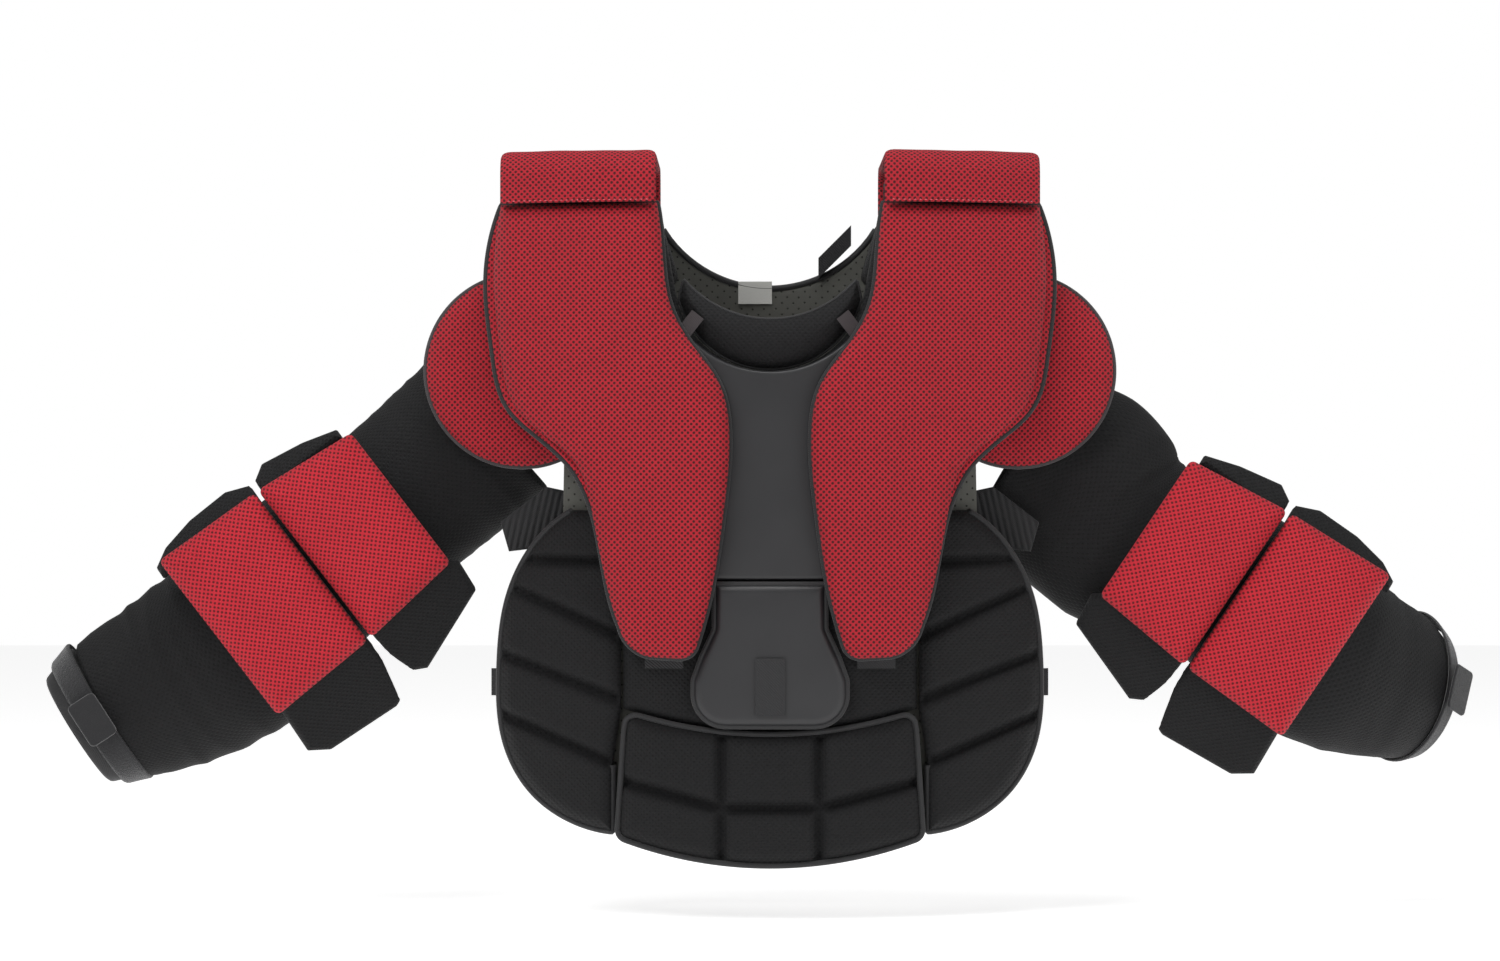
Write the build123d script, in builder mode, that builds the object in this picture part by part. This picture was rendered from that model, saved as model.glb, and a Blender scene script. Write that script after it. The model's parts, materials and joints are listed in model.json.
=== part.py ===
"""Goalie chest-and-arm protector, hanging upright as it is worn.

Millimetres. +X is the wearer's left, +Y is towards the wearer's back, +Z is up.
The origin is inside the torso, midway between the shoulders at shoulder height.
Names use the wearer's own left and right.
"""

import os
from math import cos, radians, sin, sqrt, tan

from build123d import *

# Front of the chest: every layer is part of a cylinder about one upright axis.
BOW_CENTRE = 450.0  # how far behind the origin that axis stands
VEST_BACK = 574.0  # radius of the rear face of the front foam
LINING = 4.0
VEST_FOAM = 22.0
SIDE_FOAM = 26.0
BELLY_FOAM = 28.0
STERNUM_CORE = 2.5
STERNUM_COVER = 3.5
TONGUE_THICKNESS = 12.0
UNDERLAY_THICKNESS = 6.5
FLOAT_THICKNESS = 28.0
LAYER_GAP = 1.0  # between pieces that move against each other
FLOAT_GAP = 1.5  # between the sternum cover and the float's under-layer

# Heights on the front
SEAM_HEIGHT = 189.0  # cross seam where each float hinges
SHOULDER_TOP = 240.0
VEST_FOOT = -98.0
STERNUM_TOP = 33.0
STERNUM_FOOT = -166.0
TONGUE_TOP = -170.0
TONGUE_FOOT = -303.0
BELLY_TOP = -290.0
TORSO_FOOT = -404.0
BELLY_FOOT = -435.0
BELLY_SAG = 21.0  # how far the belly flap's top edge dips in the middle
BELLY_SIDE_DROP = 5.0  # its sides end this far below the side panels
VEST_NECK_SIDE = 98.0  # where the neckline's curve meets the shoulder strips
VEST_ARMHOLE = -20.0
STERNUM_NECK_SIDE = 63.0
STERNUM_BEVEL = 20.0
COLLAR_LOW_SIDE = 99.0
COLLAR_TOP_SIDE = 118.0
COLLAR_TOP = 80.0
TONGUE_FLARE = (42.0, 68.0, 90.0)  # below its top: the sides leave the neck, turn, and reach full width

# Widths on the front, from the middle
TORSO_HALF_WIDTH = 258.0
VEST_HALF_WIDTH = 195.0
VEST_STRAP_INNER = 104.0
VEST_FOOT_HALF = 170.0
CENTRE_HALF_WIDTH = 139.0
STERNUM_HALF_WIDTH = 75.0
TONGUE_HALF_WIDTH = 72.0
TONGUE_NECK_INSET = 20.0
TONGUE_FLARE_INSET = 8.0
TONGUE_CORNER = 30.0
BELLY_HALF_WIDTH = 145.0
BELLY_TOP_INSET = 8.0
BELLY_CORNER = 11.0
NECK_HALF_WIDTH = 88.0
COLLAR_TAPER = 4.0
PANEL_GAP = 2.0
PANEL_STEP = 50.0  # below the belly flap's top, where the side panels make room for its width
LINING_LAP = 20.0
CHANNEL_WIDTH = 7.0
CHANNEL_DEPTH = 9.0

# Shoulder yoke, band and back
YOKE_INNER = 112.0
YOKE_OUTER = 250.0
YOKE_FOAM = 18.0
BAND_THICKNESS = 11.0
BAND_OVERHANG = 5.0  # the red band is wider than the yoke by this on each side
BAND_FRONT_ROUND = 30.0
BAND_REAR_ROUND = 8.0
BACK_FACE = 60.0  # front face of the back plate
BACK_THICKNESS = 18.0
BACK_LINING = 4.0
BACK_LINING_INSET = 3.0
BACK_HALF_WIDTH = 210.0
BACK_NECK_HALF = 100.0
BACK_NECK_SIDE = 170.0
BACK_NECK_LOW = 119.0
BACK_EDGE = ((176.0, 20.0), (140.0, -150.0))  # half width and height down its side
BACK_FOOT = -205.0
SPINE_WIDTH = 90.0
SPINE_LENGTH = 250.0
SPINE_MIDDLE = -40.0
SPINE_THICKNESS = 14.0
SPINE_CORNER = 30.0
SPINE_ROUND = 8.0
NECK_PAD_FRONT = 105.0  # how far in front of the origin the neck pads start
WEBBING = 3.0
WEBBING_WIDTH = 26.0
STRAP_SLACK = 0.5  # room for the webbing in the buckle

# Small trim
TONGUE_TAB_LENGTH = 54.0
TONGUE_TAB_RISE = 10.0
TAB_EXTRA = 2.0  # the tongue's tab is wider than the webbing by this
FLOAT_TAB = (36.0, 14.0)
FLOAT_TAB_PLACE = (100.0, -242.0)
COLLAR_TAB = (14.0, 26.0)
COLLAR_TAB_PLACE = (76.0, 74.0)
COLLAR_TAB_LEAN = 38.0
TRIM_GAP = 1.0
WAIST_TAB_LENGTH = 28.0
LABEL = (33.0, 22.0)
LABEL_PLACE = (-14.0, 112.0)
LABEL_THICKNESS = 1.0
NECK_STRAP_THICKNESS = 6.0

WAIST_HEIGHT = -265.0  # middle of the waist webbing
STRAP_HALF_SPAN = 250.0
STRAP_BACK = 96.0  # how far behind the origin the webbing passes
STRAP_SPLIT = 40.0  # between the two straps' ends, inside the buckle
BUCKLE_LENGTH = 64.0
BUCKLE_THICKNESS = 14.0
BUCKLE_RIM = 6.0  # above and below the webbing
BUCKLE_CORNER = 7.0
BUCKLE_SLOT = 6.0
BUCKLE_SLOT_X = 21.0

# Shoulder caps
SHOULDER_X = 256.0
SHOULDER_Z = -2.0
CAP_X = 237.0
CAP_Z = 33.0
CAP_RADIUS = 92.0
CAP_REAR = 60.0  # distance of the rear face in front of the shoulder axis
CAP_THICKNESS = 24.0
CAP_EDGE = 6.0
CAP_LINER = 3.0
PIPING = 4.0

# Arms
SLEEVE_WALL = 8.0
ELBOW_HINGE_DEPTH = 57.0  # the elbow folds about a line this far in front of the sleeve's axis
ELBOW_BEND = 60.0
ELBOW_SLACK = 1.5
CROOK_SPARE = 1.0  # degrees past the bend that the relief behind the elbow allows
ELBOW_PAD_UP = 106.0
ELBOW_PAD_DOWN = 114.0
ELBOW_PAD_TOP_HALF = 78.0
ELBOW_PAD_MID_HALF = 89.0
ELBOW_PAD_LOW_HALF = 93.0
ELBOW_CHANNEL = 4.0
ELBOW_PAD_CORNER = 6.0
CUP_THICKNESS = 4.0
CUP_INSET = 22.0  # the hard cup is smaller than its pad by this on each side
CUP_SHARE = 0.9  # of its pad's length
WING_THICKNESS = 13.0
WING_ROOT_DEPTH = 60.0  # a wing leaves the arm this far in front of the sleeve's axis
WING_GAP = 4.0
CUT_OVERLAP = 0.01
ELBOW_PAD_THICKNESS = 24.0
PAD_CROWN = 10.0
CUFF_WALL = 6.0
STRAP_THICKNESS = 5.0
STRAP_WIDTH = 30.0
STRAP_END_LENGTH = 46.0
STRAP_STANDOFF = 6.0  # its free end lies this far in front of the strap
STRAP_CORNER = 5.0
STRAP_ROOM = 0.4  # between the cuff and the strap round it
STRAP_SHARES = (0.04, 0.72)  # where the strap starts and ends along the cuff
STRAP_TAB_SHARE = 0.38

REACH = 700.0  # longer than anything that it has to cut

# Arm sections from shoulder to wrist: across, back and up from the origin, then how far
# the sleeve drops below level and how far it turns back, in degrees, and its two half sizes.
RIGHT_ELBOW = (436, 0, -153, 37.6, 0, 84, 56)
LEFT_ELBOW = (446, 0, -176, 33.9, 0, 84, 56)
RIGHT_ARM = {
    "side": -1,
    "sleeve": (
        (SHOULDER_X, 0, SHOULDER_Z, 42, 0, 88, 54),
        (342, 0, -80, 40, 0, 84, 55),
        RIGHT_ELBOW,
    ),
    "forearm": (
        RIGHT_ELBOW,
        (526, 0, -236, 37, 0, 95, 56),
        (633, 0, -291, 33, 0, 75, 50),
    ),
    "wrist": (675.5, 0, -318, 33, 0, 57, 42),
}
LEFT_ARM = {
    "side": 1,
    "sleeve": (
        (SHOULDER_X, 0, SHOULDER_Z, 50, 0, 88, 54),
        (302, 0, -88, 46, 0, 95, 55),
        LEFT_ELBOW,
    ),
    "forearm": (
        LEFT_ELBOW,
        (543, 6, -240, 32, 8, 95, 56),
        (620, 66, -272, 22, 48, 75, 50),
    ),
    "wrist": (648, 98, -284, 22, 48, 57, 42),
}

# Outline points, as half width and height, given for the left side and mirrored for the right.
FLOAT_INNER_EDGE = (
    (106.5, SEAM_HEIGHT),
    (101, 140),
    (93.5, 92),
    (73, 55),
    (47, 17),
    (38.5, -25),
    (43.5, -100),
    (55, -175),
    (69, -227),
)
FLOAT_SOLE = ((75, -236), (88, -239), (112, -238), (131, -229))
FLOAT_OUTER_EDGE = (
    (142, -210),
    (155, -166),
    (167, -106),
    (182, -58),
    (214, -29),
    (241, -3),
    (256, 52),
    (262, 115),
    (255, SEAM_HEIGHT),
)
TORSO_OUTER_EDGE = (
    (186, -100),
    (224, -133),
    (250, -186),
    (TORSO_HALF_WIDTH, -250),
    (252, -322),
    (227, -367),
    (184, -396),
    (152, TORSO_FOOT),
)
NECK_PAD_TOP = SEAM_HEIGHT - TRIM_GAP
NECK_PAD_SECTION = ((86, 121), (103, 121), (111, 150), (111, NECK_PAD_TOP), (103, NECK_PAD_TOP))
NECK_STRAP_OUTLINE = ((48, 126), (80, 158), (80, 178), (48, 146))
GUSSET_OUTLINE = ((186, -84), (214, -78), (258, -112), (250, -140), (216, -136))
CHANNELS = (
    ((236, -147), (140, -149)),
    ((262, -167), (139, -220)),
    ((272, -231), (138, -281)),
    ((268, -289), (146, -341)),
)
UNDERLAY_EDGE = 8.0  # how far the under-layer shows past the float on the shoulder side

parts = {}
os.makedirs("parts", exist_ok=True)


def keep(name, builder):
    """Label a finished piece and write it."""
    builder.part.label = name
    export_step(builder.part, f"parts/{name}.step")
    parts[name] = builder.part


def side_points(side, points, grow=0.0):
    """Points of one side, moved outwards by grow."""
    return [(side * (x + grow), z) for x, z in points]


def bowed_layer(outline, inner, outer):
    """Cut a front outline from the layer between two radii about the bow's axis."""
    with BuildPart() as layer:
        with BuildSketch(Plane.XZ):
            add(outline)
        extrude(amount=REACH)
        with BuildSketch(Plane.XY.offset(-REACH)):
            with Locations((0, BOW_CENTRE)):
                Circle(outer)
                Circle(inner, mode=Mode.SUBTRACT)
        extrude(amount=2 * REACH, mode=Mode.INTERSECT)
    return layer


def bow_depth(radius, x):
    """Y of a bowed face at a distance x from the middle."""
    return BOW_CENTRE - sqrt(radius**2 - x**2)


# ---- torso front ----------------------------------------------------------------------


def vest_outline():
    with BuildSketch() as outline:
        with BuildLine():
            neck = ThreePointArc(
                (-NECK_HALF_WIDTH, VEST_NECK_SIDE),
                (0, STERNUM_TOP - PANEL_GAP),
                (NECK_HALF_WIDTH, VEST_NECK_SIDE),
            )
            Polyline(
                neck @ 1,
                (VEST_STRAP_INNER, SEAM_HEIGHT),
                (VEST_HALF_WIDTH, SEAM_HEIGHT),
                (VEST_HALF_WIDTH, VEST_ARMHOLE),
                (VEST_FOOT_HALF, VEST_FOOT),
                (-VEST_FOOT_HALF, VEST_FOOT),
                (-VEST_HALF_WIDTH, VEST_ARMHOLE),
                (-VEST_HALF_WIDTH, SEAM_HEIGHT),
                (-VEST_STRAP_INNER, SEAM_HEIGHT),
                neck @ 0,
            )
        make_face()
    return outline.sketch


def torso_outline():
    with BuildSketch() as outline:
        with BuildLine():
            left = Spline(*side_points(1, TORSO_OUTER_EDGE))
            right = Spline(*side_points(-1, TORSO_OUTER_EDGE))
            Line(left @ 0, right @ 0)
            Line(left @ 1, right @ 1)
        make_face()
    return outline.sketch


def lining_outline():
    """The vest and the lower torso as one sheet."""
    with BuildSketch() as outline:
        add(vest_outline())
        add(torso_outline())
        with Locations((0, VEST_FOOT)):
            Rectangle(2 * VEST_FOOT_HALF, LINING_LAP)
    return outline.sketch


def side_panel_outline(side):
    with BuildSketch() as outline:
        add(torso_outline())
        inner = CENTRE_HALF_WIDTH + PANEL_GAP
        low = BELLY_HALF_WIDTH + 2 * PANEL_GAP
        with BuildLine():
            Polyline(
                (side * inner, 0),
                (side * inner, BELLY_TOP),
                (side * low, BELLY_TOP - PANEL_STEP),
                (side * low, -REACH),
                (side * REACH, -REACH),
                (side * REACH, 0),
                close=True,
            )
        make_face(mode=Mode.INTERSECT)
    return outline.sketch


def centre_panel_outline():
    with BuildSketch() as outline:
        with BuildLine():
            top = Polyline(
                (-CENTRE_HALF_WIDTH, BELLY_TOP + PANEL_GAP),
                (-CENTRE_HALF_WIDTH, VEST_FOOT - PANEL_GAP),
                (CENTRE_HALF_WIDTH, VEST_FOOT - PANEL_GAP),
                (CENTRE_HALF_WIDTH, BELLY_TOP + PANEL_GAP),
            )
            ThreePointArc(top @ 0, (0, BELLY_TOP - BELLY_SAG + PANEL_GAP), top @ 1)
        make_face()
    return outline.sketch


def belly_outline():
    top_half = BELLY_HALF_WIDTH - BELLY_TOP_INSET
    side_foot = TORSO_FOOT - BELLY_SIDE_DROP
    with BuildSketch() as outline:
        with BuildLine():
            top = ThreePointArc((-top_half, BELLY_TOP), (0, BELLY_TOP - BELLY_SAG), (top_half, BELLY_TOP))
            side = Line(top @ 1, (BELLY_HALF_WIDTH, side_foot))
            foot = ThreePointArc(side @ 1, (0, BELLY_FOOT), (-BELLY_HALF_WIDTH, side_foot))
            Line(foot @ 1, top @ 0)
        make_face()
        fillet(vertices(), radius=BELLY_CORNER)
    return outline.sketch


def sternum_outline():
    foot_half = TONGUE_HALF_WIDTH - TONGUE_NECK_INSET
    with BuildSketch() as outline:
        with BuildLine():
            top = ThreePointArc(
                (-STERNUM_HALF_WIDTH, STERNUM_NECK_SIDE),
                (0, STERNUM_TOP - PANEL_GAP),
                (STERNUM_HALF_WIDTH, STERNUM_NECK_SIDE),
            )
            Polyline(
                top @ 1,
                (STERNUM_HALF_WIDTH, STERNUM_FOOT + STERNUM_BEVEL),
                (foot_half, STERNUM_FOOT),
                (-foot_half, STERNUM_FOOT),
                (-STERNUM_HALF_WIDTH, STERNUM_FOOT + STERNUM_BEVEL),
                top @ 0,
            )
        make_face()
    return outline.sketch


def tongue_outline():
    wide = TONGUE_HALF_WIDTH
    neck = wide - TONGUE_NECK_INSET
    turn = wide - TONGUE_FLARE_INSET
    leave, turning, full = [TONGUE_TOP - drop for drop in TONGUE_FLARE]
    with BuildSketch() as outline:
        with BuildLine():
            Polyline(
                (-neck, TONGUE_TOP),
                (neck, TONGUE_TOP),
                (neck, leave),
                (turn, turning),
                (wide, full),
                (wide, TONGUE_FOOT),
                (-wide, TONGUE_FOOT),
                (-wide, full),
                (-turn, turning),
                (-neck, leave),
                close=True,
            )
        make_face()
        fillet(vertices().group_by(Axis.Y)[0], radius=TONGUE_CORNER)
    return outline.sketch


def collar_outline():
    half = NECK_HALF_WIDTH - PANEL_GAP
    top_half = half - COLLAR_TAPER
    with BuildSketch() as outline:
        with BuildLine():
            low = ThreePointArc((-half, COLLAR_LOW_SIDE), (0, STERNUM_TOP), (half, COLLAR_LOW_SIDE))
            high = ThreePointArc((-top_half, COLLAR_TOP_SIDE), (0, COLLAR_TOP), (top_half, COLLAR_TOP_SIDE))
            Line(low @ 0, high @ 0)
            Line(low @ 1, high @ 1)
        make_face()
    return outline.sketch


def float_outline(side, grow=0.0):
    """Boot shape of a chest float; grow widens it on the shoulder side only."""
    low, high = FLOAT_OUTER_EDGE[:3], FLOAT_OUTER_EDGE[3:-1]
    outer_points = side_points(side, low) + side_points(side, high, grow)
    toe_middle, toe_end, sole_end, heel_middle = side_points(side, FLOAT_SOLE)
    with BuildSketch() as outline:
        with BuildLine():
            inner = Spline(*side_points(side, FLOAT_INNER_EDGE))
            ThreePointArc(inner @ 1, toe_middle, toe_end)
            Line(toe_end, sole_end)
            ThreePointArc(sole_end, heel_middle, outer_points[0])
            outer = Spline(*outer_points, *side_points(side, FLOAT_OUTER_EDGE[-1:]))
            Line(outer @ 1, inner @ 0)
        make_face()
    return outline.sketch


vest_front = VEST_BACK + VEST_FOAM
side_front = VEST_BACK + SIDE_FOAM
core_front = vest_front + STERNUM_CORE
sternum_front = core_front + STERNUM_COVER

keep("front_vest", bowed_layer(vest_outline(), VEST_BACK, vest_front))

keep("front_lining", bowed_layer(lining_outline(), VEST_BACK - LINING, VEST_BACK))
keep("centre_panel", bowed_layer(centre_panel_outline(), VEST_BACK, vest_front))
keep("sternum_core", bowed_layer(sternum_outline(), vest_front, core_front))
keep("sternum_plate", bowed_layer(sternum_outline(), core_front, sternum_front))
keep("collar", bowed_layer(collar_outline(), VEST_BACK + LAYER_GAP, side_front))


def channel_bars(side):
    """The same channels as flat bars, ready to be taken out of the panel."""
    with BuildSketch() as outline:
        for outer_end, inner_end in CHANNELS:
            (x0, z0), (x1, z1) = side_points(side, (outer_end, inner_end))
            along = Vector(x1 - x0, z1 - z0)
            with Locations(((x0 + x1) / 2, (z0 + z1) / 2)):
                Rectangle(along.length, CHANNEL_WIDTH, rotation=along.get_signed_angle(Vector(1, 0, 0)) * -1)
    return outline.sketch


for name, side in (("right", -1), ("left", 1)):
    bars = bowed_layer(channel_bars(side), side_front - CHANNEL_DEPTH, side_front + LAYER_GAP)
    whole = bowed_layer(side_panel_outline(side), VEST_BACK, side_front)
    with BuildPart() as side_panel:
        add(whole.part)
        add(bars.part, mode=Mode.SUBTRACT)
    keep(f"{name}_side_panel", side_panel)

# ---- flaps on the front ----------------------------------------------------------------

belly_back = VEST_BACK + LAYER_GAP
belly_front = belly_back + BELLY_FOAM
keep("belly_panel", bowed_layer(belly_outline(), belly_back, belly_front))

tongue_back = vest_front + LAYER_GAP
tongue_front = tongue_back + TONGUE_THICKNESS
keep("tongue_flap", bowed_layer(tongue_outline(), tongue_back, tongue_front))


def tongue_tab_outline():
    with BuildSketch() as outline:
        with Locations((0, TONGUE_FOOT + TONGUE_TAB_RISE + TONGUE_TAB_LENGTH / 2)):
            Rectangle(WEBBING_WIDTH + TAB_EXTRA, TONGUE_TAB_LENGTH)
    return outline.sketch


keep("tongue_tab", bowed_layer(tongue_tab_outline(), tongue_front, tongue_front + WEBBING))

underlay_back = max(sternum_front + FLOAT_GAP, side_front + WEBBING)
float_back = underlay_back + UNDERLAY_THICKNESS
float_front = float_back + FLOAT_THICKNESS


def float_tab_outline(side):
    with BuildSketch() as outline:
        with Locations(side_points(side, [FLOAT_TAB_PLACE])[0]):
            Rectangle(*FLOAT_TAB)
    return outline.sketch


for name, side in (("right", -1), ("left", 1)):
    keep(f"{name}_chest_float", bowed_layer(float_outline(side), float_back, float_front))
    under = float_outline(side, UNDERLAY_EDGE)
    keep(f"{name}_float_underlay", bowed_layer(under, underlay_back, float_back))
    tab_back = underlay_back - WEBBING + TRIM_GAP
    keep(f"{name}_float_tab", bowed_layer(float_tab_outline(side), tab_back, underlay_back))

# ---- shoulders: yoke, red band over it, neck pads ---------------------------------------


def saddle_plan(side, front_radius, back_face, inner, outer):
    """Plan of a saddle over the shoulder, bowed in front and straight behind."""
    with BuildSketch() as outline:
        with Locations((0, BOW_CENTRE)):
            Circle(front_radius)
        with Locations((side * (inner + outer) / 2, back_face - REACH / 2)):
            Rectangle(outer - inner, REACH, mode=Mode.INTERSECT)
    return outline.sketch


yoke_top = SHOULDER_TOP - BAND_THICKNESS
back_rear = BACK_FACE + BACK_THICKNESS
band_inner = YOKE_INNER - BAND_OVERHANG
band_outer = YOKE_OUTER + BAND_OVERHANG

for name, side in (("right", -1), ("left", 1)):
    with BuildPart() as yoke:
        with BuildSketch(Plane.XY.offset(SEAM_HEIGHT)):
            add(saddle_plan(side, vest_front, back_rear, YOKE_INNER, YOKE_OUTER))
        extrude(amount=yoke_top - SEAM_HEIGHT)
        with BuildSketch(Plane.XY.offset(SEAM_HEIGHT)):
            add(saddle_plan(side, VEST_BACK, BACK_FACE, 0, REACH))
        extrude(amount=yoke_top - YOKE_FOAM - SEAM_HEIGHT, mode=Mode.SUBTRACT)
    keep(f"{name}_yoke", yoke)

    with BuildPart() as band:
        with BuildSketch(Plane.XY.offset(SEAM_HEIGHT)):
            add(saddle_plan(side, float_front, back_rear + BAND_THICKNESS, band_inner, band_outer))
        extrude(amount=SHOULDER_TOP - SEAM_HEIGHT)
        top_edges = band.edges().group_by(Axis.Z)[-1]
        fillet(top_edges.sort_by(Axis.Y)[0], radius=BAND_FRONT_ROUND)
        fillet(band.edges().group_by(Axis.Z)[-1].sort_by(Axis.Y)[-1], radius=BAND_REAR_ROUND)
        with BuildSketch(Plane.XY.offset(SEAM_HEIGHT)):
            add(saddle_plan(side, vest_front, back_rear, 0, REACH))
        extrude(amount=yoke_top - SEAM_HEIGHT, mode=Mode.SUBTRACT)
    keep(f"{name}_shoulder_band", band)

with BuildPart() as neck_pads:
    with BuildSketch(Plane.XZ.offset(BACK_LINING - BACK_FACE)):
        for side in (-1, 1):
            with BuildLine():
                Polyline(*side_points(side, NECK_PAD_SECTION), close=True)
            make_face()
    extrude(amount=BACK_FACE - BACK_LINING + NECK_PAD_FRONT)
keep("neck_pads", neck_pads)

# ---- back --------------------------------------------------------------------------------


def back_outline(inset=0.0):
    neck_side = BACK_NECK_SIDE - inset
    top = SEAM_HEIGHT - inset
    half = BACK_HALF_WIDTH - inset
    edge = [(x - inset, z) for x, z in BACK_EDGE]
    mirrored = [(-x, z) for x, z in reversed(edge)]
    with BuildSketch() as outline:
        with BuildLine():
            neck = ThreePointArc(
                (-BACK_NECK_HALF, neck_side), (0, BACK_NECK_LOW - inset), (BACK_NECK_HALF, neck_side)
            )
            Polyline(neck @ 1, (YOKE_INNER, top), (half, top), *edge)
            ThreePointArc(edge[-1], (0, BACK_FOOT + inset), mirrored[0])
            Polyline(*mirrored, (-half, top), (-YOKE_INNER, top), neck @ 0)
        make_face()
    return outline.sketch


with BuildPart() as back_plate:
    with BuildSketch(Plane.XZ.offset(-BACK_FACE)):
        add(back_outline())
    extrude(amount=-BACK_THICKNESS)
keep("back_plate", back_plate)

with BuildPart() as back_lining:
    with BuildSketch(Plane.XZ.offset(-BACK_FACE)):
        add(back_outline(BACK_LINING_INSET))
    extrude(amount=BACK_LINING)
keep("back_lining", back_lining)

with BuildPart() as spine_pad:
    with BuildSketch(Plane.XZ.offset(-back_rear)):
        with Locations((0, SPINE_MIDDLE)):
            RectangleRounded(SPINE_WIDTH, SPINE_LENGTH, SPINE_CORNER)
    extrude(amount=-SPINE_THICKNESS)
    fillet(spine_pad.faces().sort_by(Axis.Y)[-1].edges(), radius=SPINE_ROUND)
keep("spine_pad", spine_pad)

with BuildPart() as label:
    with BuildSketch(Plane.XZ.offset(BACK_LINING - BACK_FACE)):
        with Locations(LABEL_PLACE):
            Rectangle(*LABEL)
    extrude(amount=LABEL_THICKNESS)
keep("size_label", label)

with BuildPart() as neck_strap:
    with BuildSketch(Plane.XZ.offset(BACK_LINING - BACK_FACE)):
        with BuildLine():
            Polyline(*NECK_STRAP_OUTLINE, close=True)
        make_face()
    extrude(amount=NECK_STRAP_THICKNESS)
keep("neck_strap", neck_strap)


def collar_tab_outline():
    with BuildSketch() as outline:
        for side in (-1, 1):
            with Locations(side_points(side, [COLLAR_TAB_PLACE])[0]):
                Rectangle(*COLLAR_TAB, rotation=side * COLLAR_TAB_LEAN)
    return outline.sketch


def waist_tab_outline():
    outer = STRAP_HALF_SPAN + WEBBING
    with BuildSketch() as outline:
        with Locations((-outer, WAIST_HEIGHT), (outer, WAIST_HEIGHT)):
            Rectangle(WAIST_TAB_LENGTH, WEBBING_WIDTH)
    return outline.sketch


keep("collar_tabs", bowed_layer(collar_tab_outline(), side_front + TRIM_GAP, side_front + WEBBING))
keep("waist_tabs", bowed_layer(waist_tab_outline(), VEST_BACK - LINING - WEBBING, VEST_BACK - LINING))

strap_start = bow_depth(VEST_BACK - LINING - WEBBING, STRAP_HALF_SPAN + WEBBING)
strap_reach = STRAP_BACK - strap_start


def strap_ring(slack=0.0):
    """The waist webbing seen from above, as a flat oval ring."""
    with BuildSketch() as ring:
        with Locations((0, strap_start)):
            Ellipse(STRAP_HALF_SPAN + WEBBING + slack, strap_reach + WEBBING + slack)
            Ellipse(STRAP_HALF_SPAN - slack, strap_reach - slack, mode=Mode.SUBTRACT)
    return ring.sketch


with BuildPart() as waist_straps:
    with BuildSketch(Plane.XY.offset(WAIST_HEIGHT - WEBBING_WIDTH / 2)):
        add(strap_ring())
        with Locations((0, strap_start + REACH / 2)):
            Rectangle(REACH, REACH, mode=Mode.INTERSECT)
        with Locations((0, STRAP_BACK)):
            Rectangle(STRAP_SPLIT, REACH / 2, mode=Mode.SUBTRACT)
    extrude(amount=WEBBING_WIDTH)
keep("waist_straps", waist_straps)

with BuildPart() as buckle:
    with BuildSketch(Plane.XZ.offset(BUCKLE_THICKNESS / 2 - STRAP_BACK - TRIM_GAP)):
        with Locations((0, WAIST_HEIGHT)):
            RectangleRounded(BUCKLE_LENGTH, WEBBING_WIDTH + 2 * BUCKLE_RIM, BUCKLE_CORNER)
            with Locations((-BUCKLE_SLOT_X, 0), (BUCKLE_SLOT_X, 0)):
                Rectangle(BUCKLE_SLOT, WEBBING_WIDTH, mode=Mode.SUBTRACT)
    extrude(amount=-BUCKLE_THICKNESS)
    with BuildSketch(Plane.XY.offset(WAIST_HEIGHT - WEBBING_WIDTH / 2 - TRIM_GAP)):
        add(strap_ring(slack=STRAP_SLACK))
    extrude(amount=WEBBING_WIDTH + 2 * TRIM_GAP, mode=Mode.SUBTRACT)
keep("waist_buckle", buckle)

# ---- shoulder caps -----------------------------------------------------------------------

cap_dome = (CAP_RADIUS**2 + (CAP_THICKNESS - CAP_EDGE) ** 2) / (2 * (CAP_THICKNESS - CAP_EDGE))
for name, side in (("right", -1), ("left", 1)):
    rear = Plane.XZ.offset(CAP_REAR + CAP_LINER)
    with BuildPart() as cap:
        with BuildSketch(rear):
            with Locations((side * CAP_X, CAP_Z)):
                Circle(CAP_RADIUS)
        extrude(amount=CAP_THICKNESS)
        with Locations((side * CAP_X, cap_dome - CAP_REAR - CAP_LINER - CAP_THICKNESS, CAP_Z)):
            Sphere(cap_dome, mode=Mode.INTERSECT)
    keep(f"{name}_shoulder_cap", cap)
    with BuildPart() as piping:
        with BuildSketch(rear):
            with Locations((side * CAP_X, CAP_Z)):
                Circle(CAP_RADIUS + PIPING)
                Circle(CAP_RADIUS, mode=Mode.SUBTRACT)
        extrude(amount=PIPING)
    keep(f"{name}_cap_piping", piping)
    with BuildPart() as liner:
        with BuildSketch(Plane.XZ.offset(CAP_REAR)):
            with Locations((side * CAP_X, CAP_Z)):
                Circle(CAP_RADIUS)
        extrude(amount=CAP_LINER)
    keep(f"{name}_cap_liner", liner)

# ---- arms --------------------------------------------------------------------------------


def section_plane(side, section):
    """Plane square to the sleeve at one of its sections; its local x points up the arm's side."""
    x, y, z, drop, turn = section[:5]
    drop, turn = radians(drop), radians(turn)
    along = Vector(side * cos(drop) * cos(turn), cos(drop) * sin(turn), -sin(drop))
    upward = Vector(side * sin(drop) * cos(turn), sin(drop) * sin(turn), cos(drop))
    return Plane(origin=(side * x, y, z), x_dir=upward, z_dir=along)


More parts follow.
